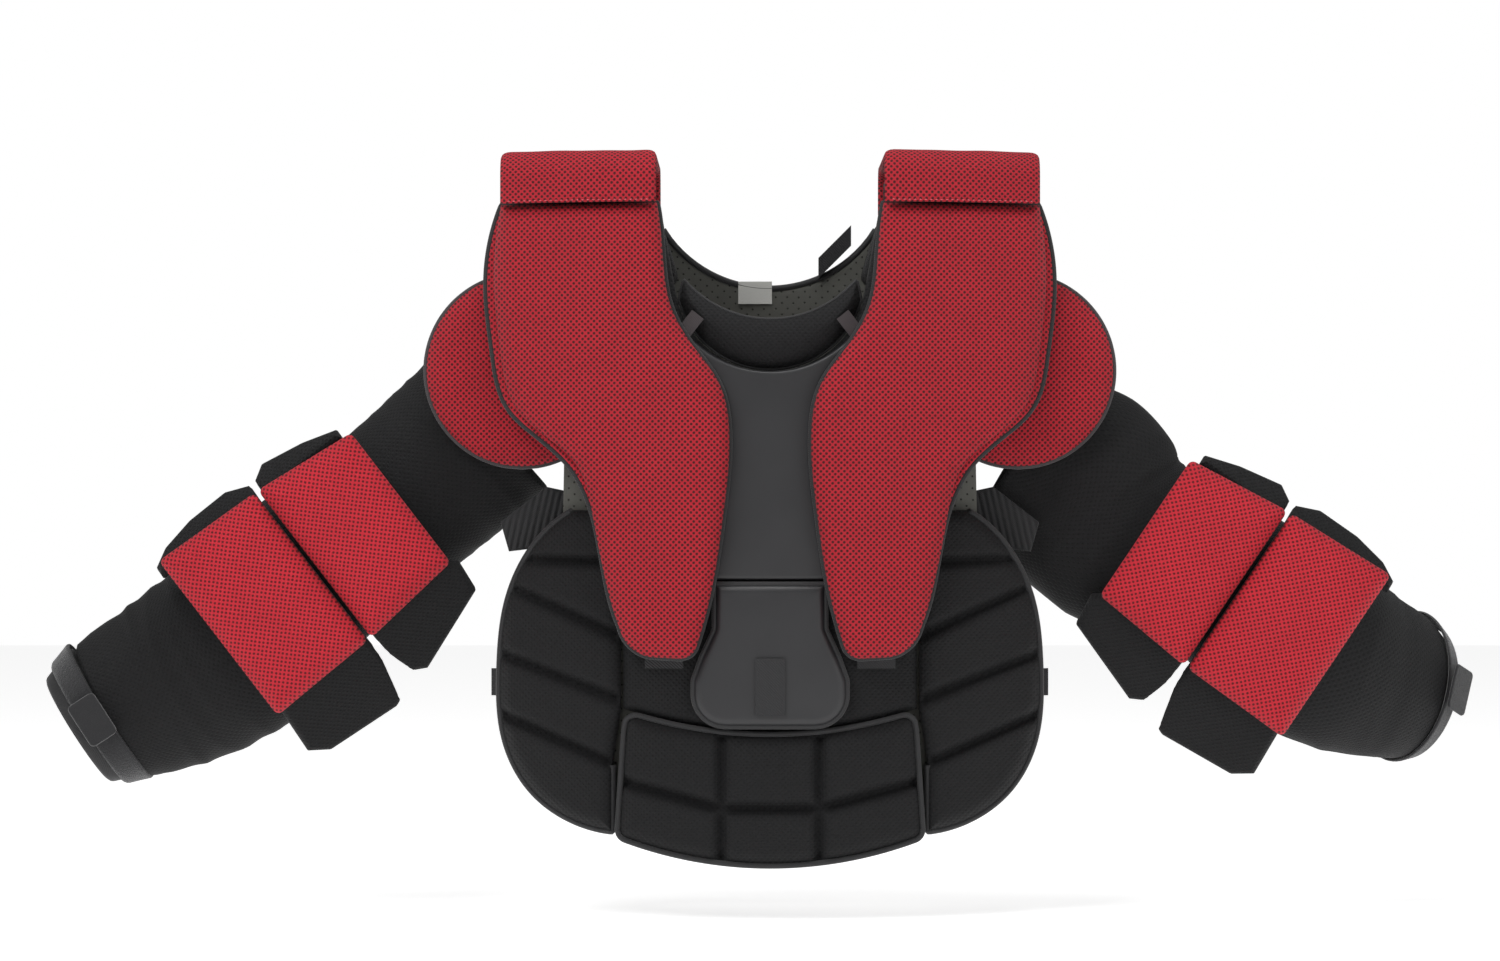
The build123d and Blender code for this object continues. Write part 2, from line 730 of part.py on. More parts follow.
def tube(side, sections, wall, grow=0.0):
    """Padded sleeve through its sections, open at both ends."""
    with BuildPart() as sleeve:
        for section in sections:
            with BuildSketch(section_plane(side, section)):
                Ellipse(section[5] + grow, section[6] + grow)
        loft()
        for section in sections:
            with BuildSketch(section_plane(side, section)):
                Ellipse(section[5] + grow - wall, section[6] + grow - wall)
        loft(mode=Mode.SUBTRACT)
    return sleeve


def elbow_frame(arm):
    """Elbow point, and the unit vectors along the arm, across it and back."""
    side, (x, y, z, drop) = arm["side"], arm["sleeve"][-1][:4]
    drop = radians(drop)
    along = Vector(side * cos(drop), 0, -sin(drop))
    upward = Vector(side * sin(drop), 0, cos(drop))
    return Vector(side * x, y, z), along, upward


def cut_crook(arm, part, sign):
    """Take away what lies past the elbow, and the wedge that the bend closes behind it."""
    side = arm["side"]
    elbow, along, upward = elbow_frame(arm)
    start = elbow - upward * REACH / 2 - Vector(0, ELBOW_HINGE_DEPTH, 0)
    slope = tan(radians(ELBOW_BEND / 2 + CROOK_SPARE))
    with BuildPart() as kept:
        add(part)
        with BuildSketch(Plane(origin=start, x_dir=along, z_dir=upward)):
            with BuildLine():
                Polyline(
                    (-sign * ELBOW_SLACK, -side * REACH),
                    (-sign * ELBOW_SLACK, 0),
                    (-sign * (ELBOW_SLACK + REACH * slope / 2), side * REACH / 2),
                    (sign * REACH / 2, side * REACH / 2),
                    (sign * REACH / 2, -side * REACH),
                    close=True,
                )
            make_face()
        extrude(amount=REACH, mode=Mode.SUBTRACT)
    return kept


def pad_outline(side, near, far, near_half, far_half):
    with BuildSketch() as outline:
        with BuildLine():
            Polyline(
                (near, side * near_half),
                (far, side * far_half),
                (far, -side * far_half),
                (near, -side * near_half),
                close=True,
            )
        make_face()
        fillet(vertices(), radius=ELBOW_PAD_CORNER)
    return outline.sketch


def front_plane(arm, depth):
    """Plane in front of the elbow, facing forwards, with its local x along the arm."""
    elbow, along, _ = elbow_frame(arm)
    return Plane(origin=elbow - Vector(0, depth, 0), x_dir=along, z_dir=(0, -1, 0))


def wing_plane(arm, edge, root, tilt):
    """Plane of a wing: it leaves the arm at root and leans back by tilt."""
    elbow, along, upward = elbow_frame(arm)
    tilt = radians(tilt)
    outward = Vector(0, -cos(tilt), 0) + upward * (edge * sin(tilt))
    origin = elbow + upward * (edge * root) - Vector(0, WING_ROOT_DEPTH, 0)
    return Plane(origin=origin, x_dir=along, z_dir=outward)


# Wing outlines as along the arm and out from the wing's root.
WINGS = {
    "upper_outer": (1, 76, 30, ((-96, 0), (-96, 12), (-62, 24), (-18, 33), (-3, 22), (-3, 0))),
    "upper_inner": (-1, 70, 24, ((-112, 10), (-108, 44), (-24, 78), (-7, 68), (-3, 50), (-3, 0), (-100, 0))),
    "lower_outer": (1, 76, 30, ((3, 0), (3, 22), (26, 33), (70, 32), (104, 24), (122, 12), (122, 0))),
    "lower_inner": (-1, 70, 24, ((3, 0), (3, 60), (8, 84), (22, 90), (98, 84), (116, 70), (110, 10), (100, 0))),
}


def wing(arm, edge, root, tilt, outline):
    """Flat padded flap beside the elbow pad."""
    plane = wing_plane(arm, edge, root, tilt)
    elbow, _, upward = elbow_frame(arm)
    out = 1 if plane.y_dir.dot(upward) * edge > 0 else -1
    with BuildPart() as flap:
        with BuildSketch(plane):
            with BuildLine():
                Polyline(*[(u, out * v) for u, v in outline], close=True)
            make_face()
        extrude(amount=WING_THICKNESS)
    return flap


def front_slab(arm, near_depth, far_depth):
    """Everything between two depths in front of the elbow."""
    with BuildPart() as slab:
        with BuildSketch(front_plane(arm, near_depth)):
            Rectangle(2 * REACH, 2 * REACH)
        extrude(amount=far_depth - near_depth)
    return slab


def cuff_section(arm, share):
    """Section part of the way along the cuff."""
    return tuple(a + (b - a) * share for a, b in zip(arm["forearm"][-1], arm["wrist"]))


def strap_tab_frame(arm):
    """Plane of the wrist strap's free end, and the line that it peels about."""
    middle = cuff_section(arm, STRAP_TAB_SHARE)
    across = section_plane(arm["side"], middle)
    forward = across.y_dir * (-1 if across.y_dir.Y > 0 else 1)
    origin = across.origin + forward * (middle[6] + STRAP_THICKNESS + STRAP_STANDOFF)
    plane = Plane(origin=origin, x_dir=across.z_dir, z_dir=forward)
    upward = across.x_dir
    hinge = origin + upward * (STRAP_END_LENGTH / 2) + forward * WEBBING
    return {"plane": plane, "hinge": hinge, "axis": upward.cross(forward) * -1}


for name, arm in (("right", RIGHT_ARM), ("left", LEFT_ARM)):
    side = arm["side"]
    halves = (("sleeve", f"{name}_upper_sleeve", 1), ("forearm", f"{name}_forearm_sleeve", -1))
    for key, node, sign in halves:
        keep(node, cut_crook(arm, tube(side, arm[key], SLEEVE_WALL).part, sign))

    last, end = arm["forearm"][-1], arm["wrist"]
    keep(f"{name}_cuff", tube(side, (last, end), CUFF_WALL))

    ring = [cuff_section(arm, share) for share in STRAP_SHARES]
    keep(f"{name}_wrist_strap", tube(side, ring, STRAP_THICKNESS, grow=STRAP_THICKNESS + STRAP_ROOM))

    with BuildPart() as strap_end:
        with BuildSketch(strap_tab_frame(arm)["plane"]):
            RectangleRounded(STRAP_WIDTH, STRAP_END_LENGTH, STRAP_CORNER)
        extrude(amount=WEBBING)
    keep(f"{name}_strap_end", strap_end)

    pad_rear = ELBOW_HINGE_DEPTH + CUP_THICKNESS + WING_THICKNESS + WING_GAP
    gap = ELBOW_CHANNEL / 2
    pads = (
        ("upper", -ELBOW_PAD_UP, -gap, ELBOW_PAD_TOP_HALF, ELBOW_PAD_MID_HALF, 1),
        ("lower", ELBOW_PAD_DOWN, gap, ELBOW_PAD_LOW_HALF, ELBOW_PAD_MID_HALF, -1),
    )
    for level, far, near, far_half, near_half, sign in pads:
        with BuildPart() as pad:
            with BuildSketch(front_plane(arm, pad_rear)):
                add(pad_outline(side, near, far, near_half, far_half))
            extrude(amount=ELBOW_PAD_THICKNESS)
            fillet(pad.faces().sort_by(Axis.Y)[0].edges(), radius=PAD_CROWN)
        keep(f"{name}_{level}_elbow_pad", pad)

        with BuildPart() as cup:
            with BuildSketch(front_plane(arm, pad_rear - CUP_THICKNESS)):
                cup_halves = (near_half - CUP_INSET, far_half - CUP_INSET)
                add(pad_outline(side, near, far * CUP_SHARE, *cup_halves))
            extrude(amount=CUP_THICKNESS)
        keep(f"{name}_{level}_elbow_cup", cup)

        wings = [wing(arm, *WINGS[f"{level}_{edge}"]) for edge in ("outer", "inner")]
        limit = front_slab(arm, pad_rear - CUP_THICKNESS - CUT_OVERLAP, REACH)
        with BuildPart() as both:
            for flap in wings:
                add(flap.part)
            add(limit.part, mode=Mode.SUBTRACT)
        keep(f"{name}_{level}_wings", cut_crook(arm, both.part, sign))

with BuildPart() as gussets:
    with BuildSketch(Plane.XZ.offset(CAP_REAR - WEBBING)):
        for side in (-1, 1):
            with BuildLine():
                Polyline(*side_points(side, GUSSET_OUTLINE), close=True)
            make_face()
    extrude(amount=WEBBING)
keep("armpit_gussets", gussets)

# How far in front of the origin each flap's fold line stands, just off its top edge.
FOLD_LINE = {
    "float": float_front - BOW_CENTRE + LAYER_GAP,
    "tongue": tongue_front - BOW_CENTRE + LAYER_GAP,
    "belly": belly_front - BOW_CENTRE + LAYER_GAP,
}
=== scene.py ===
"""Looks of a goalie chest-and-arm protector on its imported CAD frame.

Every padded piece takes its outline from the CAD node that it stands for. The outline is read
in the node's own flat space (across, up, out), the cushion is shaped there as a height over
the outline, and the result is wrapped back into place.
"""

import json

import bmesh
import bpy
import numpy as np
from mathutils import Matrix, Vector


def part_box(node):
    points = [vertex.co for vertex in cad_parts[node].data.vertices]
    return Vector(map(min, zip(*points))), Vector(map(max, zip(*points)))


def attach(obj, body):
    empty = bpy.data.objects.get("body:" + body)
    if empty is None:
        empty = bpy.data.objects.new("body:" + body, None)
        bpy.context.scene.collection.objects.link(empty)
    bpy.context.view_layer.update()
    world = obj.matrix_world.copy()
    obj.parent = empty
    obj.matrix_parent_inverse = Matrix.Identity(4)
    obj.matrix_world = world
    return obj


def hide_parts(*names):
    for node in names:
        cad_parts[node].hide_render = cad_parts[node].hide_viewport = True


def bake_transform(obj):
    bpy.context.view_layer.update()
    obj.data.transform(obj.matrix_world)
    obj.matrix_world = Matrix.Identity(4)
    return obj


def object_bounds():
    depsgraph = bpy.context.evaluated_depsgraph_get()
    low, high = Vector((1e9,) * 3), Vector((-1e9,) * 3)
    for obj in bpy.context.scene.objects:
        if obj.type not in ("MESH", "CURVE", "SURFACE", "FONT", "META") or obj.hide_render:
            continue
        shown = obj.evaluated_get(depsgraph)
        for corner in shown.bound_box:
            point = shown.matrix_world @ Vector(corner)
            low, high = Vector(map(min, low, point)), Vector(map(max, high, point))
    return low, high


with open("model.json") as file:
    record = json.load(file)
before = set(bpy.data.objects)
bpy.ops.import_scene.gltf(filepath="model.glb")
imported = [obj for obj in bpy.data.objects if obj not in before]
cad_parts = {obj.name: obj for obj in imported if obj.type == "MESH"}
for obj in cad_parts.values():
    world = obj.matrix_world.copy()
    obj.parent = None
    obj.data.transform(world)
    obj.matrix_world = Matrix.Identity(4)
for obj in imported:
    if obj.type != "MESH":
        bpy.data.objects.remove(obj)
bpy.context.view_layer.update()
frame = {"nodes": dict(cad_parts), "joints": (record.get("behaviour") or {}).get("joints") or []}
NODES = frame["nodes"]
JOINTS = {joint["name"]: joint for joint in frame["joints"]}

MM = 0.001
BOW_CENTRE = 450 * MM  # how far behind the origin the axis of the bowed front stands
SIDES = {"right": -1, "left": 1}  # the wearer's sides, as signs of X


# ---- materials --------------------------------------------------------------------------


def linear(text):
    """A colour written in sRGB hex, as linear RGBA."""
    value = np.array([int(text[i : i + 2], 16) for i in (1, 3, 5)]) / 255
    value = np.where(value <= 0.04045, value / 12.92, ((value + 0.055) / 1.055) ** 2.4)
    return (*value.tolist(), 1.0)


def add(tree, kind, inputs=None, **settings):
    """Add a shader node, set its properties, and fill or link its inputs."""
    made = tree.nodes.new(kind)
    for key, value in settings.items():
        setattr(made, key, value)
    for key, value in (inputs or {}).items():
        if isinstance(value, bpy.types.NodeSocket):
            tree.links.new(value, made.inputs[key])
        else:
            made.inputs[key].default_value = value
    return made


def start(name):
    """A new material: its tree and its surface shader."""
    made = bpy.data.materials.new(name)
    made.use_nodes = True
    return made, made.node_tree, made.node_tree.nodes["Principled BSDF"]


def cloth_place(tree, pitch, turn=0.0):
    """The piece's own flat coordinates, in metres, counted in pattern pitches."""
    flat = add(tree, "ShaderNodeUVMap", uv_map="flat").outputs[0]
    return add(
        tree,
        "ShaderNodeMapping",
        {"Vector": flat, "Scale": (1 / pitch, 1 / pitch, 1), "Rotation": (0, 0, turn)},
    ).outputs[0]


def spacer_mesh(name, face, hole, pitch=3.9 * MM, open_part=0.30, relief=0.55 * MM, rough=0.78):
    """Knitted spacer mesh: a warp-knitted face with staggered holes over a darker backing; the hole colour is
    partly that backing and partly painted shade in the holes.

    The knit's loops scatter light, so it looks matt with a faint sheen at grazing angles, and
    the holes read as dark dots in diagonal rows.
    """
    made, tree, surface = start(name)
    place = cloth_place(tree, pitch, turn=np.pi / 4)
    cells = add(
        tree,
        "ShaderNodeTexVoronoi",
        {"Vector": place, "Scale": 1.0, "Randomness": 0.10},
        voronoi_dimensions="2D",
    )
    distance = cells.outputs["Distance"]
    hole_mask = add(
        tree,
        "ShaderNodeMapRange",
        {0: distance, 1: open_part * 0.55, 2: open_part * 1.25, 3: 1.0, 4: 0.0},
        interpolation_type="SMOOTHSTEP",
    ).outputs[0]
    yarn = add(
        tree,
        "ShaderNodeTexWave",
        {"Vector": cloth_place(tree, 1.1 * MM), "Scale": 1.0, "Distortion": 1.5, "Detail": 1.0},
        bands_direction="X",
    ).outputs["Fac"]
    patches = add(
        tree, "ShaderNodeTexNoise", {"Vector": cloth_place(tree, 45 * MM), "Scale": 1.0, "Detail": 4.0}
    ).outputs["Fac"]
    dull = tuple(channel * 0.78 for channel in face[:3]) + (1.0,)
    worn = {"Factor": patches, "A": face, "B": dull}
    base = add(tree, "ShaderNodeMix", worn, data_type="RGBA").outputs["Result"]
    # The hole colour is partly the backing seen through the holes and partly painted shade: the same mask
    # lowers the bump in the holes.
    pierced = {"Factor": hole_mask, "A": base, "B": hole}
    base = add(tree, "ShaderNodeMix", pierced, data_type="RGBA").outputs["Result"]
    tree.links.new(base, surface.inputs["Base Color"])
    ridge = add(tree, "ShaderNodeMath", {0: yarn, 1: 0.18}, operation="MULTIPLY").outputs[0]
    height = add(tree, "ShaderNodeMath", {0: ridge, 1: hole_mask}, operation="SUBTRACT").outputs[0]
    bump = add(tree, "ShaderNodeBump", {"Height": height, "Strength": 0.9, "Distance": relief})
    tree.links.new(bump.outputs[0], surface.inputs["Normal"])
    surface.inputs["Roughness"].default_value = rough
    surface.inputs["Sheen Weight"].default_value = 0.03
    surface.inputs["Sheen Roughness"].default_value = 0.5
    surface.inputs["Specular IOR Level"].default_value = 0.3
    return made


def coated_vinyl(name, colour, rough=0.42):
    """Calendered vinyl on cloth: an embossed leather grain under a thin satin coat."""
    made, tree, surface = start(name)
    grain = add(
        tree,
        "ShaderNodeTexVoronoi",
        {"Vector": cloth_place(tree, 1.3 * MM), "Scale": 1.0},
        feature="DISTANCE_TO_EDGE",
        voronoi_dimensions="2D",
    ).outputs["Distance"]
    patches = add(
        tree, "ShaderNodeTexNoise", {"Vector": cloth_place(tree, 60 * MM), "Scale": 1.0, "Detail": 5.0}
    ).outputs["Fac"]
    light = tuple(channel * 1.35 for channel in colour[:3]) + (1.0,)
    grainy = {"Factor": patches, "A": colour, "B": light}
    tint = add(tree, "ShaderNodeMix", grainy, data_type="RGBA").outputs["Result"]
    tree.links.new(tint, surface.inputs["Base Color"])
    gloss = add(tree, "ShaderNodeMapRange", {0: patches, 3: rough - 0.06, 4: rough + 0.1}).outputs[0]
    tree.links.new(gloss, surface.inputs["Roughness"])
    bump = add(tree, "ShaderNodeBump", {"Height": grain, "Strength": 0.35, "Distance": 0.15 * MM})
    tree.links.new(bump.outputs[0], surface.inputs["Normal"])
    return made


def woven_tape(name, colour, pitch=1.6 * MM, relief=0.3 * MM, rough=0.7):
    """Woven nylon tape: ribs across its length that catch the light one by one, and a colour darkened in the
    valleys between the ribs as painted shade.
    """
    made, tree, surface = start(name)
    place = add(tree, "ShaderNodeTexCoord").outputs["Object"]
    scaled = add(tree, "ShaderNodeMapping", {"Vector": place, "Scale": (1 / pitch,) * 3}).outputs[0]
    ribs = add(
        tree,
        "ShaderNodeTexWave",
        {"Vector": scaled, "Scale": 0.5, "Distortion": 0.6},
        bands_direction="DIAGONAL",
    ).outputs["Fac"]
    # Painted shade: between the ribs, where the bump is low, the colour falls to 0.6 of its value.
    dark = tuple(channel * 0.6 for channel in colour[:3]) + (1.0,)
    ribbed = {"Factor": ribs, "A": dark, "B": colour}
    tint = add(tree, "ShaderNodeMix", ribbed, data_type="RGBA").outputs["Result"]
    tree.links.new(tint, surface.inputs["Base Color"])
    bump = add(tree, "ShaderNodeBump", {"Height": ribs, "Strength": 0.8, "Distance": relief})
    tree.links.new(bump.outputs[0], surface.inputs["Normal"])
    surface.inputs["Roughness"].default_value = rough
    surface.inputs["Sheen Weight"].default_value = 0.1
    return made


def loop_pile(name, colour):
    """Brushed loop side of hook-and-loop tape: a felt of torn loops, soft and light-drinking, with the raised
    fuzz painted lighter than its hollows as painted highlight.
    """
    made, tree, surface = start(name)
    fuzz = add(
        tree,
        "ShaderNodeTexNoise",
        {"Vector": cloth_place(tree, 2.4 * MM), "Scale": 1.0, "Detail": 6.0, "Roughness": 0.75},
    ).outputs["Fac"]
    # Painted highlight: where the bump lifts the fuzz, the colour rises to 2.6 times its value, leaving the
    # hollows as painted shade.
    light = tuple(channel * 2.6 for channel in colour[:3]) + (1.0,)
    painted_fuzz_highlight = {"Factor": fuzz, "A": colour, "B": light}
    tint = add(tree, "ShaderNodeMix", painted_fuzz_highlight, data_type="RGBA").outputs["Result"]
    tree.links.new(tint, surface.inputs["Base Color"])
    bump = add(tree, "ShaderNodeBump", {"Height": fuzz, "Strength": 1.0, "Distance": 1.2 * MM})
    tree.links.new(bump.outputs[0], surface.inputs["Normal"])
    surface.inputs["Roughness"].default_value = 0.95
    surface.inputs["Sheen Weight"].default_value = 0.35
    return made


def moulded_plastic(name, colour, rough=0.45):
    """Injection-moulded shell with a spark-eroded texture, so highlights are soft and broken."""
    made, tree, surface = start(name)
    place = add(tree, "ShaderNodeTexCoord").outputs["Object"]
    pits = add(tree, "ShaderNodeTexNoise", {"Vector": place, "Scale": 900.0, "Detail": 2.0}).outputs["Fac"]
    bump = add(tree, "ShaderNodeBump", {"Height": pits, "Strength": 0.25, "Distance": 0.1 * MM})
    tree.links.new(bump.outputs[0], surface.inputs["Normal"])
    surface.inputs["Base Color"].default_value = colour
    surface.inputs["Roughness"].default_value = rough
    return made


# The second colour of each spacer mesh is its hole colour: the backing seen through the holes, darkened as
# painted shade.
RED_MESH = spacer_mesh("red_spacer_mesh", linear("#B01B2A"), linear("#3E040A"), open_part=0.36)
BRIGHT_MESH = spacer_mesh("bright_red_spacer_mesh", linear("#C02130"), linear("#5A0710"), open_part=0.34)
BLACK_MESH = spacer_mesh(
    "black_spacer_mesh", linear("#0B0B0D"), linear("#010102"), relief=0.6 * MM, rough=0.7
)
LINING = spacer_mesh("perforated_lining", linear("#5B5B56"), linear("#23231F"), pitch=8 * MM, open_part=0.13)
VINYL = coated_vinyl("grey_vinyl", linear("#19191B"))
BINDING = woven_tape("folded_binding", linear("#1B1B1D"))
GREY_PIPING = woven_tape("grey_piping", linear("#3A3436"), pitch=1.2 * MM)
WEBBING = woven_tape("woven_webbing", linear("#17171A"), pitch=2.2 * MM, relief=0.45 * MM)
LOOP = loop_pile("hook_and_loop_pile", linear("#0E0E10"))
LABEL = woven_tape("satin_label", linear("#CFCFCA"), pitch=0.7 * MM, relief=0.05 * MM)
PLASTIC = moulded_plastic("moulded_insert", linear("#2A2B2E"))
RED_THREAD = woven_tape("red_thread", linear("#E5606B"), pitch=0.9 * MM, relief=0.2 * MM)


# ---- flat spaces ------------------------------------------------------------------------


class Bowed:
    """Sheets wrapped round the chest: across is X, up is Z, out is the distance to the bow's axis."""

    def flat(self, p):
        return np.stack([p[:, 0], p[:, 2], np.hypot(p[:, 0], p[:, 1] - BOW_CENTRE)], axis=1)

    def solid(self, q):
        depth = BOW_CENTRE - np.sqrt(np.maximum(q[..., 2] ** 2 - q[..., 0] ** 2, 0))
        return np.stack([q[..., 0], depth, q[..., 1]], axis=-1)


class Leaning:
    """A flat board: across, up and out are three square unit vectors from an origin."""

    def __init__(self, origin, across, up, out):
        self.origin = np.array(origin, float)
        axes = np.array([across, up, out], float)
        self.axes = axes / np.linalg.norm(axes, axis=1, keepdims=True)

    def flat(self, p):
        return (p - self.origin) @ self.axes.T

    def solid(self, q):
        return self.origin + q @ self.axes


class Folding:
    """A board beside the elbow: its points keep out of the wedge that closes when the arm bends.

    A point a depth d behind the fold line stays at least 1.5 mm + d * tan(32 degrees) from it.
    """

    def __init__(self, board, joint_board, sign):
        self.board, self.joint_board, self.sign = board, joint_board, sign

    def flat(self, p):
        return self.board.flat(p)

    def solid(self, q):
        h = self.joint_board.flat(self.board.solid(q))
        room = 1.5 * MM + np.maximum(-h[..., 2], 0) * np.tan(np.radians(32))
        h[..., 0] = self.sign * np.maximum(self.sign * h[..., 0], room)
        return self.joint_board.solid(h)


class OverShoulder:
    """A strip over the shoulder: across is X, up is the way round it from the front foot, out is off it.

    The way round is a rounded arch: up the bowed front, over the flat top, down the straight back.
    """

    def __init__(self, radius, back, foot, top, corner):
        self.radius, self.back, self.foot, self.top, self.corner = radius, back, foot, top, corner

    def length(self, x):
        front = BOW_CENTRE - np.sqrt(self.radius**2 - x**2)
        rise = self.top - self.foot - self.corner
        run = self.back - front - 2 * self.corner
        return rise, run, front

    def solid(self, q):
        x, share, out = q[..., 0], q[..., 1], q[..., 2]
        rise, run, front = self.length(x)
        quarter = np.pi / 2 * self.corner
        total = 2 * rise + 2 * quarter + run
        s = share * total
        first = np.clip((s - rise) / quarter, 0, 1) * np.pi / 2
        second = np.clip((s - rise - quarter - run) / quarter, 0, 1) * np.pi / 2
        heading = first + second
        y = front + self.corner * (1 - np.cos(first)) + np.clip(s - rise - quarter, 0, run)
        y = y + self.corner * np.sin(second)
        z = self.foot + np.clip(s, 0, rise) + self.corner * np.sin(first)
        z = z - self.corner * (1 - np.cos(second)) - np.clip(s - rise - 2 * quarter - run, 0, rise)
        return np.stack([x, y - out * np.cos(heading), z + out * np.sin(heading)], axis=-1)


BOWED = Bowed()
FRONT = Leaning((0, 0, 0), (1, 0, 0), (0, 0, 1), (0, -1, 0))
REAR = Leaning((0, 0, 0), (1, 0, 0), (0, 0, 1), (0, 1, 0))


# ---- reading the frame ------------------------------------------------------------------


def cad_mesh(node):
    """A CAD node's points and edges as arrays."""
    data = NODES[node].data
    points = np.empty(len(data.vertices) * 3)
    data.vertices.foreach_get("co", points)
    edges = np.empty(len(data.edges) * 2, dtype=np.int64)
    data.edges.foreach_get("vertices", edges)
    return points.reshape(-1, 3), edges.reshape(-1, 2)


def crossings(q, edges, axis, value):
    """Where the mesh's edges cross a plane at one value of one flat coordinate."""
    first, second = q[edges[:, 0]], q[edges[:, 1]]
    low, high = first[:, axis], second[:, axis]
    hit = (np.minimum(low, high) <= value) & (np.maximum(low, high) >= value) & (low != high)
    share = (value - low[hit]) / (high[hit] - low[hit])
    return first[hit] + share[:, None] * (second[hit] - first[hit])


def eased(count, ends=0.6):
    """Values from -1 to 1, closer together near the ends."""
    even = np.linspace(-1, 1, count)
    return (1 - ends) * even + ends * np.sin(np.pi / 2 * even)


def outline(node, space, rows, axis=1, keep=None):
    """The node's outline as rows across it: (row values, low ends, high ends, depths).

    axis is the flat coordinate that counts the rows: 1 for level rows, 0 for upright ones.
    keep chooses the solids of a node that has several.
    """
    points, edges = cad_mesh(node)
    q = space.flat(points)
    chosen = np.ones(len(q), dtype=bool) if keep is None else keep(q)
    edges = edges[chosen[edges].all(axis=1)]
    low, high = q[chosen, axis].min(), q[chosen, axis].max()
    margin = (high - low) * 1e-4
    values = (low + high) / 2 + eased(rows) * ((high - low) / 2 - margin)
    ends = [crossings(q, edges, axis, value)[:, 1 - axis] for value in values]
    low_ends = np.array([e.min() for e in ends])
    high_ends = np.array([e.max() for e in ends])
    return values, low_ends, high_ends, (q[chosen, 2].min(), q[chosen, 2].max())


# ---- making pieces ----------------------------------------------------------------------


def ripple(q, size, seed):
    """Slow unevenness: the mean of six sine waves of about one size in mixed directions."""
    chance = np.random.default_rng(seed)
    turn = chance.uniform(0, 2 * np.pi, 6)
    stretch = chance.uniform(0.7, 1.5, 6)
    phase = chance.uniform(0, 2 * np.pi, 6)
    total = np.zeros(q.shape[:-1])
    for angle, wide, shift in zip(turn, stretch, phase):
        travel = q[..., 0] * np.cos(angle) + q[..., 1] * np.sin(angle)
        total += np.sin(2 * np.pi * travel / (size * wide) + shift)
    return total / 6


def grid_faces(rows, cols, index=None, wrap=False):
    """Quads of a rows by cols grid of point numbers, joined round if wrap is set."""
    index = np.arange(rows * cols).reshape(rows, cols) if index is None else index
    if wrap:
        index = np.concatenate([index, index[:, :1]], axis=1)
    return np.stack([index[:-1, :-1], index[1:, :-1], index[1:, 1:], index[:-1, 1:]], axis=-1).reshape(-1, 4)


def make(name, points, faces, flat, material, body, stands_for=(), smooth=True):
    """A finished mesh object on its CAD body, closed, with outward normals and a flat UV map."""
    data = bpy.data.meshes.new(name)
    quads = faces if isinstance(faces, list) else faces.tolist()
    data.from_pydata(points.reshape(-1, 3).tolist(), [], quads)
    layer = data.uv_layers.new(name="flat")
    corners = np.empty(len(data.loops), dtype=np.int64)
    data.loops.foreach_get("vertex_index", corners)
    layer.data.foreach_set("uv", flat.reshape(-1, 2)[corners].astype(np.float32).ravel())
    work = bmesh.new()
    work.from_mesh(data)
    bmesh.ops.remove_doubles(work, verts=work.verts, dist=1e-6)
    bmesh.ops.dissolve_degenerate(work, edges=work.edges, dist=1e-7)
    bmesh.ops.recalc_face_normals(work, faces=work.faces)
    work.to_mesh(data)
    work.free()
    data.polygons.foreach_set("use_smooth", [smooth] * len(data.polygons))
    data.materials.append(material)
    made = bpy.data.objects.new(name, data)
    bpy.context.scene.collection.objects.link(made)
    if body:
        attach(made, body)
    if stands_for:
        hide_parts(*stands_for)
    return made


def line_distance(points, lines):
    """Distance of each flat point to the nearest of several straight lines (start, end)."""
    nearest = np.full(points.shape[:-1], np.inf)
    for a, b in lines:
        a, b = np.array(a, float), np.array(b, float)
        run = b - a
        share = np.clip(((points - a) @ run) / max(run @ run, 1e-12), 0, 1)
        nearest = np.minimum(nearest, np.linalg.norm(points - a - share[..., None] * run, axis=-1))
    return nearest


def loop_distance(points, loop):
    """Distance of each flat point to a closed loop of points."""
    ends = np.roll(loop, -1, axis=0)
    return line_distance(points, zip(loop, ends))


